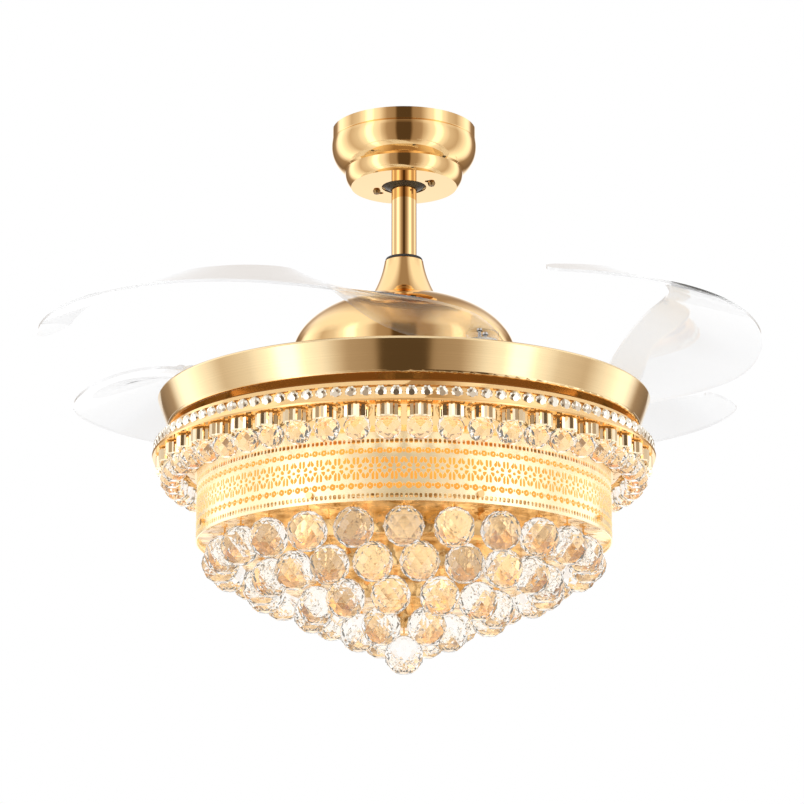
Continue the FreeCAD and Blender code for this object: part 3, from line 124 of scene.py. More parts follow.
class FanLooks(bpy.types.PropertyGroup):
    """Sizes and colours that a user would change."""
    gold: FloatVectorProperty(
        name="Gold", description="Colour of the polished metal", subtype="COLOR", size=3,
        min=0.0, max=1.0, default=(0.88, 0.60, 0.29))
    satin: FloatVectorProperty(
        name="Satin gold", description="Colour of the brushed blade tray", subtype="COLOR", size=3,
        min=0.0, max=1.0, default=(0.91, 0.69, 0.39))
    pale: FloatVectorProperty(
        name="Pale gold", description="Colour of the openwork band", subtype="COLOR", size=3,
        min=0.0, max=1.0, default=(1.0, 0.85, 0.56))
    crystal: FloatVectorProperty(
        name="Crystal", description="Tint of the cut crystals", subtype="COLOR", size=3,
        min=0.0, max=1.0, default=(1.0, 0.985, 0.96))
    glow: FloatVectorProperty(
        name="Glow", description="Colour of the light behind the openwork", subtype="COLOR", size=3,
        min=0.0, max=1.0, default=(0.88, 0.36, 0.035))
    glow_strength: FloatProperty(
        name="Glow strength", description="Strength of that light", default=0.9, min=0.0)
    ball_sides: IntProperty(
        name="Ball facets", description="Facets round each crystal ball", default=10, min=6, max=24)
    ball_belts: IntProperty(
        name="Ball belts", description="Belts of facets on each ball", default=8, min=5, max=15)
    flare_count: IntProperty(
        name="Flare crystals", description="Crystals round the flare", default=50, min=8)
    flare_flutes: IntProperty(
        name="Flutes", description="Flutes round the cap of a flare crystal", default=14, min=6)
    stud_count: IntProperty(
        name="Studs", description="Small crystals round the rim", default=110, min=8)
    stud_radius: FloatProperty(
        name="Stud radius", description="Radius of a small crystal", unit="LENGTH", default=0.0068)
    band_columns: IntProperty(
        name="Openwork columns", description="Repeats of the openwork pattern", default=72, min=8)
    band_step: FloatProperty(
        name="Openwork grain", description="Size of the mesh that the openwork is cut from",
        unit="LENGTH", default=0.0010)
    band_wall: FloatProperty(
        name="Openwork wall", description="Thickness of the openwork band", unit="LENGTH", default=0.0012)


class Value:
    """A number that comes from a socket, for sums written in Python."""

    def __init__(self, shader, socket):
        self.shader = shader
        self.socket = socket

    def _sum(self, operation, first, second):
        node = self.shader.node("ShaderNodeMath", {"operation": operation})
        self.shader.plug(node.inputs[0], first)
        self.shader.plug(node.inputs[1], second)
        return Value(self.shader, node.outputs[0])

    def __add__(self, other):
        return self._sum("ADD", self, other)

    __radd__ = __add__

    def __sub__(self, other):
        return self._sum("SUBTRACT", self, other)

    def __rsub__(self, other):
        return self._sum("SUBTRACT", other, self)

    def __mul__(self, other):
        return self._sum("MULTIPLY", self, other)

    __rmul__ = __mul__

    def __truediv__(self, other):
        return self._sum("DIVIDE", self, other)

    def __abs__(self):
        return self._sum("ABSOLUTE", self, 0.0)

    def bearing(self, other):
        """The angle of this value from another at right angles to it, as a share of half a turn."""
        return self._sum("ARCTAN2", self, other) / math.pi

    def least(self, other):
        """The smaller of two values."""
        return self._sum("MINIMUM", self, other)

    def most(self, other):
        """The larger of two values."""
        return self._sum("MAXIMUM", self, other)


class Finish:
    """A material, or the world, whose nodes are added one at a time."""

    def __init__(self, owner):
        self.owner = owner
        owner.use_nodes = True
        self.tree = owner.node_tree
        self.tree.nodes.clear()

    @classmethod
    def material(cls, name):
        """A new material with only a surface shader; `surface` holds it."""
        finish = cls(bpy.data.materials.new(name))
        finish.surface = finish.node("ShaderNodeBsdfPrincipled")
        finish.node("ShaderNodeOutputMaterial", Surface=finish.surface.outputs[0])
        return finish

    def node(self, kind, settings=None, **sockets):
        """Add a node of a type, with its settings and the values or links of its sockets."""
        node = self.tree.nodes.new(kind)
        for key, value in (settings or {}).items():
            if key == "stops":
                ramp = node.color_ramp
                while len(ramp.elements) < len(value):
                    ramp.elements.new(0.5)
                for element, (place, colour) in zip(ramp.elements, value):
                    element.position = place
                    element.color = colour
            else:
                setattr(node, key, value)
        for key, value in sockets.items():
            self.plug(node.inputs[key.replace("_", " ")], value)
        return node

    def plug(self, socket, value):
        """Set a socket to a number, colour or vector, or link it."""
        if isinstance(value, Value):
            self.tree.links.new(value.socket, socket)
        elif isinstance(value, bpy.types.NodeSocket):
            self.tree.links.new(value, socket)
        elif hasattr(value, "__len__") and len(value) == 3 and socket.type == "RGBA":
            socket.default_value = (*value, 1.0)
        else:
            socket.default_value = value

    def set(self, **sockets):
        """Set sockets of the surface shader."""
        for key, value in sockets.items():
            self.plug(self.surface.inputs[key.replace("_", " ")], value)
        return self.owner

    def place(self, scale=(1.0, 1.0, 1.0)):
        """Object coordinates, stretched."""
        coordinate = self.node("ShaderNodeTexCoord")
        mapping = self.node("ShaderNodeMapping", Vector=coordinate.outputs["Object"], Scale=scale)
        return mapping.outputs[0]

    def noise(self, scale, stretch=(1.0, 1.0, 1.0), detail=3.0):
        """Noise between 0 and 1."""
        node = self.node("ShaderNodeTexNoise", Vector=self.place(stretch), Scale=scale, Detail=detail)
        return Value(self, node.outputs["Fac"])

    def blend(self, factor, first, second):
        """A colour between two colours."""
        node = self.node("ShaderNodeMix", {"data_type": "RGBA"})
        self.plug(node.inputs[0], factor)
        self.plug(node.inputs[6], first)
        self.plug(node.inputs[7], second)
        return node.outputs[2]

    def bump(self, height, distance, strength):
        """A normal from a height in metres."""
        node = self.node("ShaderNodeBump", Height=height, Distance=distance, Strength=strength)
        return node.outputs[0]


def shade(colour, amount):
    """A colour made darker or lighter."""
    return tuple(min(1.0, channel * amount) for channel in colour)


def polished_gold(looks, name="polished_gold", glow=0.0):
    """Mirror gold plate with faint cloudiness and the ripple of spun metal.

    The glow is a painted glow: emission on the plate that stands in for the lamps' light.
    """
    finish = Finish.material(name)
    cloud = finish.noise(9.0)
    ripple = finish.noise(3.0, (1.0, 1.0, 60.0), 2.0)
    return finish.set(
        Base_Color=finish.blend(cloud, shade(looks.gold, 0.92), shade(looks.gold, 1.08)),
        Metallic=1.0,
        Roughness=0.02 + 0.035 * cloud,
        # painted glow: warm emission on the metal, its strength set by glow
        Emission_Color=(1.0, 0.50, 0.13),
        Emission_Strength=glow,
        Normal=finish.bump(ripple, 0.0002, 0.25))


def painted_light_gold(looks):
    """Gold plate behind the crystal balls, rippled, with patches of painted light and painted shade in its
    colour and a painted glow, standing in for the lamps above it.
    """
    finish = Finish.material("painted_light_gold")
    patch = finish.noise(42.0, detail=2.0)
    ripple = finish.noise(85.0, detail=1.0)
    # painted light mask: patches painted lit, the rest painted shade
    lit = (patch - 0.41) * 5.5
    return finish.set(
        Base_Color=finish.blend(lit, shade(looks.gold, 0.60), shade(looks.gold, 1.05)),
        Metallic=1.0,
        Roughness=0.06 + 0.10 * patch,
        # painted glow in the same patches
        Emission_Color=finish.blend(lit, (0.50, 0.20, 0.03), (1.0, 0.66, 0.28)),
        Emission_Strength=0.24,
        Normal=finish.bump(ripple, 0.002, 0.6))


def satin_gold(looks):
    """Gold brushed round the tray, with long fine streaks."""
    finish = Finish.material("satin_gold")
    streak = finish.noise(1.0, (2.0, 2.0, 1400.0), 6.0)
    cloud = finish.noise(5.0)
    return finish.set(
        Base_Color=finish.blend(streak, shade(looks.satin, 0.93), shade(looks.satin, 1.06)),
        Metallic=1.0,
        Roughness=0.05 + 0.04 * streak + 0.03 * cloud,
        Normal=finish.bump(streak, 0.00005, 0.25))


def pale_gold_painted_glow(looks):
    """Thin pale gold of the openwork with a painted glow: emission that stands in for light from behind
    through its edges.
    """
    finish = Finish.material("pale_gold_painted_glow")
    cloud = finish.noise(40.0)
    grain = finish.noise(900.0, detail=2.0)
    return finish.set(
        Base_Color=finish.blend(cloud, shade(looks.pale, 0.88), looks.pale),
        Metallic=0.85,
        Roughness=0.22 + 0.16 * cloud,
        # painted glow: warm emission on the metal
        Emission_Color=finish.blend(cloud, (1.0, 0.76, 0.40), (1.0, 0.86, 0.58)),
        Emission_Strength=0.34,
        Normal=finish.bump(grain, 0.0001, 0.4))


def cut_crystal(looks, name="cut_crystal", index=1.6):
    """Clear cut glass with a trace of cloud on its facets and a faint painted glow."""
    finish = Finish.material(name)
    cloud = finish.noise(60.0)
    return finish.set(
        Base_Color=finish.blend(cloud, shade(looks.crystal, 0.97), looks.crystal),
        Roughness=0.004 + 0.012 * cloud,
        IOR=index,
        Transmission_Weight=1.0,
        # painted glow: faint warm emission in the glass
        Emission_Color=finish.blend(cloud, (1.0, 0.93, 0.80), (1.0, 0.97, 0.90)),
        Emission_Strength=0.03)


def foiled_crystal(name, tint):
    """Cut crystal with a mirror foil behind it, so that each facet shows one piece of the room."""
    finish = Finish.material(name)
    cloud = finish.noise(60.0)
    return finish.set(
        Base_Color=finish.blend(cloud, shade(tint, 0.94), tint),
        Metallic=0.96,
        Roughness=0.02 + 0.04 * cloud,
        Coat_Weight=0.6)


def clear_acrylic():
    """Clear blade sheet with faint haze and hairline scratches."""
    finish = Finish.material("clear_acrylic")
    haze = finish.noise(14.0)
    scratch = finish.noise(1.0, (60.0, 1500.0, 60.0), 4.0)
    return finish.set(
        Base_Color=finish.blend(haze, (0.94, 0.942, 0.947), (0.97, 0.971, 0.975)),
        Roughness=0.02 + 0.03 * haze + 0.02 * scratch,
        IOR=1.005,
        Transmission_Weight=0.93,
        Coat_Weight=1.0,
        Coat_IOR=1.49,
        Coat_Roughness=0.03)


def glowing_sleeve(looks):
    """Milky sleeve lit from inside, brighter in patches near its lamps."""
    finish = Finish.material("glowing_sleeve")
    patch = finish.noise(26.0, detail=2.0)
    return finish.set(
        Base_Color=finish.blend(patch, shade(looks.glow, 0.3), shade(looks.glow, 0.45)),
        Roughness=0.45 + 0.1 * patch,
        Emission_Color=finish.blend(patch, shade(looks.glow, 0.75), (1.0, 0.50, 0.10)),
        Emission_Strength=looks.glow_strength)


def lamp_chip():
    """Lit lamps on the board."""
    finish = Finish.material("lamp_chip")
    patch = finish.noise(300.0)
    return finish.set(
        Base_Color=(1.0, 0.9, 0.7),
        Roughness=0.4 + 0.1 * patch,
        Emission_Color=finish.blend(patch, (1.0, 0.80, 0.52), (1.0, 0.9, 0.7)),
        Emission_Strength=4.0)


def plain_metal(name, colour, rough, stretch=(1.0, 1.0, 1.0), scale=120.0):
    """Working metal with grain that varies its colour and gloss."""
    finish = Finish.material(name)
    grain = finish.noise(scale, stretch)
    return finish.set(
        Base_Color=finish.blend(grain, shade(colour, 0.85), shade(colour, 1.12)),
        Metallic=1.0,
        Roughness=rough + 0.14 * grain,
        Normal=finish.bump(grain, 0.0001, 0.3))


def plain_moulding(name, colour, rough):
    """Moulded plastic or rubber with a fine texture."""
    finish = Finish.material(name)
    grain = finish.noise(700.0)
    cloud = finish.noise(20.0)
    return finish.set(
        Base_Color=finish.blend(cloud, shade(colour, 0.9), shade(colour, 1.08)),
        Roughness=rough + 0.12 * grain,
        Normal=finish.bump(grain, 0.0001, 0.35))


def dress(material, *names):
    """Give frame pieces a material."""
    for name in names:
        slots = NODES[name].data.materials
        slots.clear()
        slots.append(material)


def clear_selection():
    """Leave edit mode and deselect everything."""
    if bpy.context.mode != "OBJECT":
        bpy.ops.object.mode_set(mode="OBJECT")
    bpy.ops.object.select_all(action="DESELECT")


def open_mesh(piece):
    """Edit one piece."""
    clear_selection()
    bpy.context.view_layer.objects.active = piece
    piece.select_set(True)
    bpy.ops.object.mode_set(mode="EDIT")


def pick(test, kind="VERT"):
    """Select the parts of the open mesh that pass a test."""
    bpy.ops.mesh.select_mode(type=kind)
    bpy.ops.mesh.select_all(action="DESELECT")
    mesh = bmesh.from_edit_mesh(bpy.context.edit_object.data)
    parts = {"VERT": mesh.verts, "EDGE": mesh.edges, "FACE": mesh.faces}[kind]
    for part in parts:
        if test(part):
            part.select_set(True)
    mesh.select_flush_mode()
    bmesh.update_edit_mesh(bpy.context.edit_object.data)


def close_mesh():
    """Merge doubles, turn faces outwards and leave edit mode."""
    bpy.ops.mesh.select_mode(type="VERT")
    bpy.ops.mesh.select_all(action="SELECT")
    bpy.ops.mesh.remove_doubles(threshold=TOUCH)
    bpy.ops.mesh.normals_make_consistent(inside=False)
    bpy.ops.object.mode_set(mode="OBJECT")


def copies(master, moves, name):
    """One piece made of a copy of the master at each place; the caller removes the master."""
    clear_selection()
    made = []
    for move in moves:
        copy = bpy.data.objects.new(name, master.data.copy())
        bpy.context.scene.collection.objects.link(copy)
        copy.data.transform(move)
        copy.select_set(True)
        made.append(copy)
    bpy.context.view_layer.objects.active = made[0]
    if len(made) > 1:
        bpy.ops.object.join()
    piece = bpy.context.view_layer.objects.active
    piece.name = name
    return piece


def drop(piece):
    """Remove a master that has been copied."""
    mesh = piece.data
    bpy.data.objects.remove(piece)
    bpy.data.meshes.remove(mesh)


def finish_piece(piece, material, body, slot, *nodes):
    """Give a new piece its material, body and the frame nodes that it stands for."""
    piece.data.materials.clear()
    piece.data.materials.append(material)
    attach(piece, body)
    if nodes:
        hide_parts(*nodes)


def around(angle):
    """A turn about the fan's axis, in degrees."""
    return Matrix.Rotation(math.radians(angle), 4, "Z")


def grow_rings(sides, rings):
    """A closed piece about the Z axis, extruded downwards through (height, radius) rings."""
    clear_selection()
    bpy.ops.mesh.primitive_circle_add(vertices=sides, radius=rings[0][1], fill_type="NGON",
                                      location=(0, 0, 0))
    piece = bpy.context.object
    bpy.ops.object.mode_set(mode="EDIT")
    bpy.ops.mesh.select_all(action="SELECT")
    bpy.ops.transform.translate(value=(0, 0, rings[0][0]))
    last = rings[0]
    for height, radius in rings[1:]:
        bpy.ops.mesh.extrude_region_move(TRANSFORM_OT_translate={"value": (0, 0, height - last[0])})
        grow = radius / last[1]
        bpy.ops.transform.resize(value=(grow, grow, 1), center_override=(0, 0, height))
        last = (height, radius)
    return piece


def turn_belts(heights, sides):
    """Turn the open mesh's belts at these heights by half a facet and split its faces into triangles."""
    for height in heights:
        pick(lambda vert: abs(vert.co.z - height) < TOUCH)
        bpy.ops.transform.rotate(value=math.pi / sides, orient_axis="Z", center_override=(0, 0, 0))
    bpy.ops.mesh.select_all(action="SELECT")
    bpy.ops.mesh.quads_convert_to_tris(quad_method="SHORTEST_DIAGONAL", ngon_method="BEAUTY")


class FAN_OT_metalwork(bpy.types.Operator):
    """Polished and brushed gold of the canopy, rod, dome, tray and light"""
    bl_idname = "fan.metalwork"
    bl_label = "Gold metalwork"

    def execute(self, context):
        looks = context.scene.fan_looks
        dress(polished_gold(looks), "canopy", "downrod", "coupling_cover", "motor_dome")
        # the light's gold parts get a faint painted glow
        dress(polished_gold(looks, "glow_painted_gold", 0.10),
              "light_chassis", "flare_band", "band_screws", "ball_hooks")
        # crystal plate: patches of painted light and painted shade with a painted glow
        dress(painted_light_gold(looks), "crystal_plate")
        dress(plain_metal("bronze_screw", (0.30, 0.19, 0.08), 0.25), "canopy_screws")
        dress(satin_gold(looks), "blade_tray")
        return {"FINISHED"}


class FAN_OT_mechanism(bpy.types.Operator):
    """Working parts behind the gold: bracket, motor, gear, pivots and supplies"""
    bl_idname = "fan.mechanism"
    bl_label = "Working parts"

    def execute(self, context):
        steel = plain_metal("zinc_steel", (0.56, 0.57, 0.58), 0.22)
        dress(steel, "mounting_bracket", "canopy_posts", "hanger_pin", "yoke_bolt", "dome_screws",
              "motor_shaft", "upper_bearing", "lower_bearing", "tray_screws", "guide_studs",
              "return_springs", "shaft_nut", "plate_posts")
        bright = plain_metal("bright_steel", (0.72, 0.72, 0.73), 0.14, scale=200.0)
        white = plain_moulding("white_nylon", (0.86, 0.85, 0.82), 0.25)
        for number in range(1, 5):
            dress(bright, "blade_screws_%d" % number)
            dress(white, "pivot_%d" % number)
        dress(plain_metal("cast_alloy", (0.45, 0.45, 0.46), 0.42, scale=300.0),
              "coupling_yoke", "rotor_shell", "rotor_cover", "led_board")
        dress(plain_metal("laminations", (0.22, 0.22, 0.24), 0.4, (1.0, 1.0, 20.0)),
              "stator_core", "rotor_magnets")
        dress(plain_metal("copper_wire", (0.66, 0.30, 0.14), 0.3, (1.0, 1.0, 12.0)), "stator_coils")
        dress(plain_moulding("nylon", (0.78, 0.76, 0.70), 0.38), "pivot_bushes", "timing_ring")
        dress(plain_moulding("gasket_rubber", (0.03, 0.028, 0.026), 0.5), "cover_gasket", "hanger_ball")
        dress(plain_moulding("supply_case", (0.82, 0.82, 0.80), 0.35), "led_driver", "controller_box")
        return {"FINISHED"}


class FAN_OT_ball_boot(bpy.types.Operator):
    """Rubber boot under the hanger ball that closes the canopy's hole round the rod"""
    bl_idname = "fan.ball_boot"
    bl_label = "Ball boot"

    def execute(self, context):
        low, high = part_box("hanger_ball")
        middle = (low.z + high.z) / 2
        clear_selection()
        bpy.ops.mesh.primitive_uv_sphere_add(segments=64, ring_count=96, radius=BOOT_RADIUS,
                                             location=(0, 0, 0))
        boot = bpy.context.object
        boot.name = "ball_boot"
        open_mesh(boot)
        top, foot = (math.sqrt(BOOT_RADIUS ** 2 - edge ** 2) for edge in (BOOT_RIM, BOOT_BORE))
        for depth, turn in ((top, 1), (foot, -1)):
            bpy.ops.mesh.select_all(action="SELECT")
            bpy.ops.mesh.bisect(plane_co=(0, 0, -depth), plane_no=(0, 0, turn), clear_outer=True)
        bpy.ops.mesh.select_all(action="SELECT")
        bpy.ops.transform.translate(value=(0, 0, middle))
        close_mesh()
        wall = boot.modifiers.new("wall", "SOLIDIFY")
        wall.thickness = BOOT_WALL
        wall.offset = -1.0
        bpy.ops.object.modifier_apply(modifier=wall.name)
        bpy.ops.object.shade_smooth_by_angle(angle=math.radians(40))
        rubber = plain_moulding("boot_rubber", (0.06, 0.05, 0.035), 0.3)
        finish_piece(boot, rubber, LIGHT_BODY, "rubber")
        return {"FINISHED"}


class FAN_OT_blades(bpy.types.Operator):
    """Clear acrylic of the four crescent blades"""
    bl_idname = "fan.blades"
    bl_label = "Blades"

    def execute(self, context):
        acrylic = clear_acrylic()
        for number in range(1, 5):
            dress(acrylic, "blade_%d" % number)
        return {"FINISHED"}


class FAN_OT_crystal_balls(bpy.types.Operator):
    """Tiers of cut crystal balls"""
    bl_idname = "fan.crystal_balls"
    bl_label = "Crystal balls"

    def execute(self, context):
        looks = context.scene.fan_looks
        glass = cut_crystal(looks)
        low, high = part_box("crystal_drop")
        flat = (high.z - low.z) / 2
        radius = flat / math.sin(BALL_FLAT)
        master = self.cut_ball(radius, flat, looks.ball_sides, looks.ball_belts)
        for node, circle, count, start in BALL_TIERS:
            low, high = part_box(node)
            middle = Matrix.Translation((circle, 0, (low.z + high.z) / 2))
            moves = [around(start + 360.0 * i / count) @ middle @ around(BALL_TWIST * i)
                     for i in range(count)]
            tier = copies(master, moves, "cut_" + node)
            finish_piece(tier, glass, LIGHT_BODY, "crystal", node)
        drop(master)
        return {"FINISHED"}

    def cut_ball(self, radius, flat, sides, belts):
        """A ball of triangular facets with a flat top and bottom."""
        clear_selection()
        bpy.ops.mesh.primitive_uv_sphere_add(segments=sides, ring_count=belts, radius=radius)
        ball = bpy.context.object
        open_mesh(ball)
        heights = [radius * math.cos(math.pi * i / belts) for i in range(1, belts)]
        turn_belts(heights[::2], sides)
        for turn in (1, -1):
            bpy.ops.mesh.select_all(action="SELECT")
            bpy.ops.mesh.bisect(plane_co=(0, 0, turn * flat), plane_no=(0, 0, turn), use_fill=True,
                                clear_outer=True)
        close_mesh()
        return ball


class FAN_OT_flare_crystals(bpy.types.Operator):
    """Flare crystals: a fluted cap above a round, faceted drop"""
    bl_idname = "fan.flare_crystals"
    bl_label = "Flare crystals"

    def execute(self, context):
        looks = context.scene.fan_looks
        step = 360.0 / looks.flare_count
        turns = [around(step * i) for i in range(looks.flare_count)]
        cap = self.fluted_cap(looks.flare_flutes * 2)
        cap_place = Matrix.Translation((CAP_CIRCLE, 0, 0))
        caps = copies(cap, [turn @ cap_place for turn in turns], "fluted_caps")
        foil = foiled_crystal("fluted_crystal", (1.0, 0.84, 0.58))
        finish_piece(caps, foil, LIGHT_BODY, "crystal", "flare_crystals")
        bead = self.faceted_drop()
        drop_place = Matrix.Translation((DROP_CIRCLE, 0, 0))
        drops = copies(bead, [turn @ drop_place for turn in turns], "flare_drops")
        glass = cut_crystal(looks, "drop_crystal", 1.58)
        finish_piece(drops, glass, LIGHT_BODY, "crystal", "flare_crystals")
        drop(cap)
        drop(bead)
        return {"FINISHED"}

    def fluted_cap(self, sides):
        """Upper part: a short pleated barrel, cut flat behind."""
        rings = [(CAP_TOP, CAP_RADIUS - CAP_EDGE), (CAP_TOP - CAP_EDGE, CAP_RADIUS),
                 (CAP_LOW + CAP_EDGE, CAP_RADIUS), (CAP_LOW, CAP_RADIUS - CAP_EDGE)]
        piece = grow_rings(sides, rings)
        step = 2 * math.pi / sides

        def valley(vert):
            return round(math.atan2(vert.co.y, vert.co.x) / step) % 2 == 1

        pick(valley)
        bpy.ops.transform.resize(value=(FLUTE_SHARE, FLUTE_SHARE, 1), center_override=(0, 0, 0))
        self.cut_back(CAP_BACK)
        close_mesh()
        return piece

    def faceted_drop(self):
        """Lower part: a round drop of triangular facets, flat under its cap and behind."""
        rings = []
        for latitude in DROP_LATITUDES:
            angle = math.radians(latitude)
            rings.append((DROP_MIDDLE + DROP_RADIUS * math.sin(angle), DROP_RADIUS * math.cos(angle)))
        piece = grow_rings(DROP_SIDES, rings)
        turn_belts([height for height, ring in rings[1::2]], DROP_SIDES)
        self.cut_back(DROP_BACK)
        close_mesh()
        return piece

    def cut_back(self, depth):
        """Cut the open mesh flat on the side that faces the fan's axis."""
        bpy.ops.mesh.select_all(action="SELECT")
        bpy.ops.mesh.bisect(plane_co=(depth, 0, 0), plane_no=(-1, 0, 0), use_fill=True, clear_outer=True)


class FAN_OT_stud_crystals(bpy.types.Operator):
    """Row of small cut studs round the light's rim"""
    bl_idname = "fan.stud_crystals"
    bl_label = "Stud crystals"

    def execute(self, context):
        looks = context.scene.fan_looks
        size = looks.stud_radius
        rings = [(height, size * share) for height, share in STUD_RINGS]
        stud = grow_rings(STUD_SIDES, rings)
        turn_belts([rings[1][0]], STUD_SIDES)
        close_mesh()
        lean = Matrix.Rotation(math.pi / 2 + STUD_LEAN, 4, "Y")
        place = Matrix.Translation(STUD_MIDDLE) @ lean
        step = 360.0 / looks.stud_count
        moves = [around(step * i) @ place for i in range(looks.stud_count)]
        piece = copies(stud, moves, "rim_studs")
        drop(stud)
        foil = foiled_crystal("stud_crystal", (1.0, 0.93, 0.80))
        finish_piece(piece, foil, LIGHT_BODY, "crystal", "stud_crystals")
        return {"FINISHED"}


class FAN_OT_openwork(bpy.types.Operator):
    """Openwork gold band with lozenges, rings and rows of square holes"""
    bl_idname = "fan.openwork"
    bl_label = "Openwork band"

    def execute(self, context):
        looks = context.scene.fan_looks
        low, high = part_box("filigree_band")
        radius = high.x - looks.band_wall / 2
        height = high.z - low.z
        width = 2 * math.pi * radius / looks.band_columns
        across, up = round(width / looks.band_step), round(height / looks.band_step)
        clear_selection()
        bpy.ops.mesh.primitive_grid_add(x_subdivisions=across, y_subdivisions=up, size=1.0)
        band = bpy.context.object
        band.name = "openwork_band"
        open_mesh(band)
        bpy.ops.transform.resize(value=(width, height, 1))
        step = width / across
        pick(lambda edge: abs(edge.verts[0].co.x - edge.verts[1].co.x) < TOUCH
             and round((edge.verts[0].co.x + width / 2) / step) % SEAM_COLUMNS == 0, "EDGE")
        bpy.ops.mesh.mark_seam()
        pick(lambda face: not self.solid(face.calc_center_median(), width, height), "FACE")
        bpy.ops.mesh.delete(type="FACE")
        for round_number in range(SMOOTH_ROUNDS):
            pick(lambda vert: vert.is_boundary and abs(vert.co.x) < width / 2 - TOUCH
                 and abs(vert.co.y) < height / 2 - TOUCH)
            bpy.ops.mesh.vertices_smooth(factor=0.5)
        bpy.ops.mesh.select_all(action="SELECT")
        bpy.ops.mesh.dissolve_limited(angle_limit=math.radians(0.5), delimit={"SEAM"})
        bpy.ops.transform.rotate(value=-math.pi / 2, orient_axis="X", center_override=(0, 0, 0))
        bpy.ops.object.mode_set(mode="OBJECT")
        row = band.modifiers.new("row", "ARRAY")
        row.count = looks.band_columns
        row.use_merge_vertices = True
        row.merge_threshold = COLUMN_TOUCH
        bpy.ops.object.modifier_apply(modifier=row.name)
        self.wrap(band, radius, width * looks.band_columns, (low.z + high.z) / 2)
        wall = band.modifiers.new("wall", "SOLIDIFY")
        wall.thickness = looks.band_wall
        wall.offset = 0.0
        bpy.ops.object.modifier_apply(modifier=wall.name)
        bpy.ops.object.shade_smooth_by_angle(angle=math.radians(50))
        finish_piece(band, pale_gold_painted_glow(looks), LIGHT_BODY, "polished_gold", "filigree_band")
        return {"FINISHED"}

    def wrap(self, band, radius, length, middle):
        """Roll the flat strip into a ring and close its seam."""
        for vert in band.data.vertices:
            angle = 2 * math.pi * vert.co.x / length
            vert.co = (radius * math.cos(angle), radius * math.sin(angle), vert.co.z + middle)
        open_mesh(band)
        bpy.ops.mesh.select_all(action="SELECT")
        bpy.ops.mesh.remove_doubles(threshold=RING_TOUCH)
        bpy.ops.mesh.normals_make_consistent(inside=False)
        bpy.ops.object.mode_set(mode="OBJECT")

    def solid(self, place, width, height):
        """True where the pattern has metal; x and y run across one repeat of the strip."""
        across, up = abs(place.x / width), place.y / height + 0.5
        if up < RIM_LOW or up > RIM_HIGH:
            return True
        if up < DOTS_LOW or up > DOTS_HIGH:
            return abs((across * DOTS_ACROSS) % 1.0 - 0.5) > DOT_HALF
        if up < LINE_LOW or up > LINE_HIGH:
            return True
        x, y = across * width, abs(up - PATTERN_MIDDLE) * height
        slope = x / (0.5 * width) - y / (LOZENGE_RISE * height)
        lozenge = x / (0.5 * width) + y / (LOZENGE_RISE * height)
        if lozenge < EYE_SHARE:
            return math.hypot(x, y) > EYE_RADIUS
        if lozenge < WEB_SHARE:
            return x < RIB_HALF or y < RIB_HALF or abs(slope) < RIB_SLOPE
        if lozenge < FRAME_SHARE:
            return True
        curl = math.hypot(x - CURL_ACROSS * width, y - CURL_UP * height)
        if curl < CURL_RADIUS:
            return not CURL_INNER < curl < CURL_OUTER
        if math.hypot(min(x, 0.5 * width - x), y - PIERCING_UP * height) < PIERCING_RADIUS:
            return False
        in_slot = SLOT_LOW * height < y < SLOT_HIGH * height
        return not (in_slot and SLOT_ACROSS * width < x < 0.5 * width - SLOT_RIB)


class FAN_OT_inner_light(bpy.types.Operator):
    """Lit sleeve and lamps behind the openwork"""
    bl_idname = "fan.inner_light"
    bl_label = "Inner light"

    def execute(self, context):
        dress(glowing_sleeve(context.scene.fan_looks), "light_diffuser")
        dress(lamp_chip(), "led_chips")
        return {"FINISHED"}


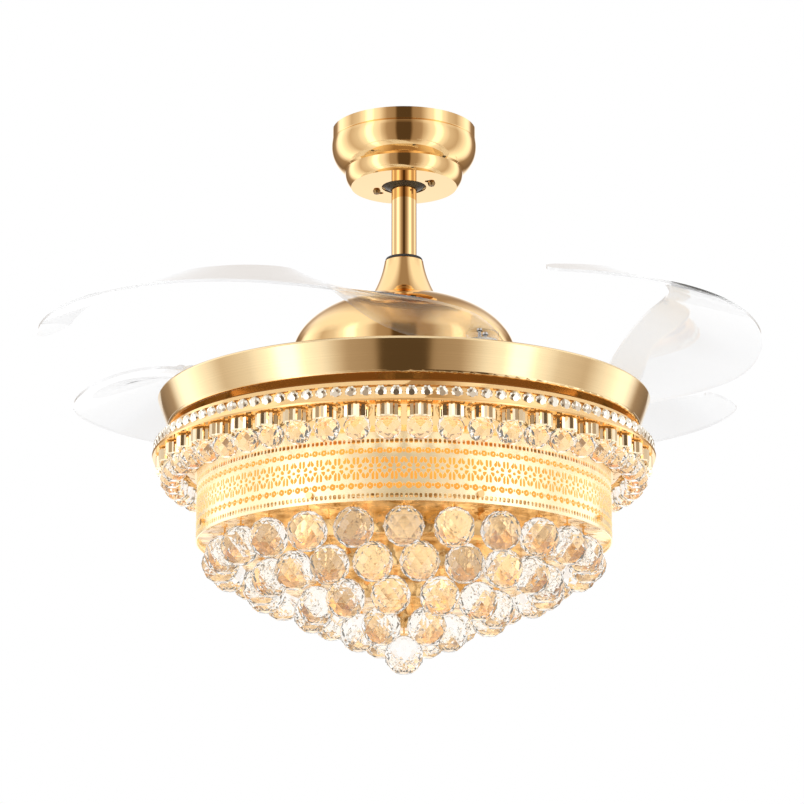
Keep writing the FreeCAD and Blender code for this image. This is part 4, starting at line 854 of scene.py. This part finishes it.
class FAN_OT_stage(bpy.types.Operator):
    """Pale floor, soft light and the photograph's camera"""
    bl_idname = "fan.stage"
    bl_label = "Stage"

    def execute(self, context):
        self.floor()
        self.world(context.scene)
        for name, place, size, power in LAMPS:
            self.lamp(name, place, size, power)
        self.camera(context.scene)
        context.scene.view_settings.view_transform = "Standard"
        return {"FINISHED"}

    def floor(self):
        """Wide pale floor, far enough below the fan for views from under it."""
        clear_selection()
        bpy.ops.mesh.primitive_grid_add(x_subdivisions=4, y_subdivisions=4, size=FLOOR_WIDTH)
        floor = bpy.context.object
        floor.name = "pale_floor"
        open_mesh(floor)
        bpy.ops.mesh.select_all(action="SELECT")
        bpy.ops.transform.translate(value=(0, 0, FLOOR_Z))
        bpy.ops.object.mode_set(mode="OBJECT")
        finish = Finish.material("pale_floor")
        cloud = finish.noise(0.8)
        seen = finish.node("ShaderNodeLightPath").outputs["Is Camera Ray"]
        floor.data.materials.append(finish.set(
            Base_Color=finish.blend(cloud, (0.80, 0.80, 0.79), (0.86, 0.86, 0.85)),
            Roughness=0.8,
            Emission_Color=finish.blend(seen, (0.0, 0.0, 0.0), (0.42, 0.42, 0.42)),
            Emission_Strength=1.0))
        floor.visible_glossy = False
        floor.visible_transmission = False

    def world(self, scene):
        """White behind the fan; metal sees a studio of bright panels and dark gaps."""
        world = bpy.data.worlds.new("studio")
        scene.world = world
        finish = Finish(world)
        coordinate = finish.node("ShaderNodeTexCoord")
        split = finish.node("ShaderNodeSeparateXYZ", Vector=coordinate.outputs["Generated"])
        x, y, z = (Value(finish, output) for output in split.outputs)
        walls = WALL_LEVEL * self.ramp(finish, abs(x).bearing(0.0 - y), WALL_PANELS)
        side = self.ramp(finish, x, ((-0.6, 1.0), (0.6, 0.92)))
        ceiling = CEILING_LEVEL * self.ramp(finish, abs(x), ((0.20, 0.34), (0.52, 1.0)))
        up = self.ramp(finish, z, ((0.38, 0.0), (0.62, 1.0)))
        down = self.ramp(finish, z, ((-0.88, 1.0), (-0.62, 0.0)))
        studio = walls * side * (1.0 - up) * (1.0 - down) + ceiling * up + GROUND_LEVEL * down
        rays = finish.node("ShaderNodeLightPath")
        seen = Value(finish, rays.outputs["Is Camera Ray"])
        through = Value(finish, rays.outputs["Is Transmission Ray"])
        mirrored = Value(finish, rays.outputs["Is Glossy Ray"]).most(through)
        lower = self.ramp(finish, z, ((-0.15, 1.0), (0.05, 0.0)))
        glass = (studio + GLASS_LEVEL * (1.0 - studio)).least(1.0).most(lower).most(up)
        shown = studio + through * (glass - studio)
        strength = seen + (1.0 - seen) * (mirrored * shown + (1.0 - mirrored) * PLAIN_LEVEL)
        pale = self.ramp(finish, studio, ((0.12, 0.0), (1.0, 1.0))).most(1.0 - mirrored).most(
            through * (0.85 + lower + up))
        colour = finish.blend(pale, DIM_TINT, (1.0, 1.0, 1.0))
        background = finish.node("ShaderNodeBackground", Color=colour, Strength=strength)
        finish.node("ShaderNodeOutputWorld", Surface=background.outputs[0])

    def ramp(self, finish, value, stops):
        """A value that follows (place, level) stops, for places between -1 and 1."""
        node = finish.node("ShaderNodeValToRGB", {"stops": [
            ((place + 1.0) / 2.0, (level, level, level, 1.0)) for place, level in stops]},
            Fac=(value + 1.0) * 0.5)
        return Value(finish, node.outputs["Color"])

    def lamp(self, name, place, size, power):
        """A soft square lamp that faces the fan."""
        data = bpy.data.lights.new(name, "AREA")
        data.size = size
        data.energy = power
        lamp = bpy.data.objects.new(name, data)
        bpy.context.scene.collection.objects.link(lamp)
        lamp.location = place
        lamp.visible_glossy = False
        lamp.visible_transmission = False
        aim = LAMP_AIM - Vector(place)
        lamp.rotation_euler = aim.to_track_quat("-Z", "Y").to_euler()

    def camera(self, scene):
        """The camera that took the photograph."""
        data = bpy.data.cameras.new("photo_camera")
        data.sensor_width = SENSOR
        data.lens = FOCAL_PIXELS / FRAME_PIXELS * SENSOR
        data.shift_x = (FRAME_PIXELS / 2 - AXIS_PIXEL) / FRAME_PIXELS
        camera = bpy.data.objects.new("photo_camera", data)
        scene.collection.objects.link(camera)
        camera.location = CAMERA_PLACE
        camera.rotation_euler = (math.pi / 2 + CAMERA_PITCH, 0.0, 0.0)
        scene.camera = camera


OPERATORS = (
    FAN_OT_metalwork,
    FAN_OT_mechanism,
    FAN_OT_ball_boot,
    FAN_OT_blades,
    FAN_OT_crystal_balls,
    FAN_OT_flare_crystals,
    FAN_OT_stud_crystals,
    FAN_OT_openwork,
    FAN_OT_inner_light,
    FAN_OT_stage,
)


class FAN_PT_panel(bpy.types.Panel):
    """Sidebar panel that lists the fan's pieces"""
    bl_idname = "FAN_PT_panel"
    bl_label = "Crystal ceiling fan"
    bl_space_type = "VIEW_3D"
    bl_region_type = "UI"
    bl_category = "Fan"

    def draw(self, context):
        looks = context.scene.fan_looks
        for name in looks.bl_rna.properties.keys():
            if name not in ("rna_type", "name"):
                self.layout.prop(looks, name)
        for operator in OPERATORS:
            self.layout.operator(operator.bl_idname)


CLASSES = (FanLooks, *OPERATORS, FAN_PT_panel)


def register():
    """Add the classes and the fan's settings."""
    for cls in CLASSES:
        bpy.utils.register_class(cls)
    bpy.types.Scene.fan_looks = PointerProperty(type=FanLooks)


def unregister():
    """Take them away again."""
    del bpy.types.Scene.fan_looks
    for cls in reversed(CLASSES):
        bpy.utils.unregister_class(cls)


def main():
    """Dress the fan and set the stage."""
    register()
    for operator in OPERATORS:
        group, name = operator.bl_idname.split(".")
        getattr(getattr(bpy.ops, group), name)()


if __name__ == "__main__":
    main()
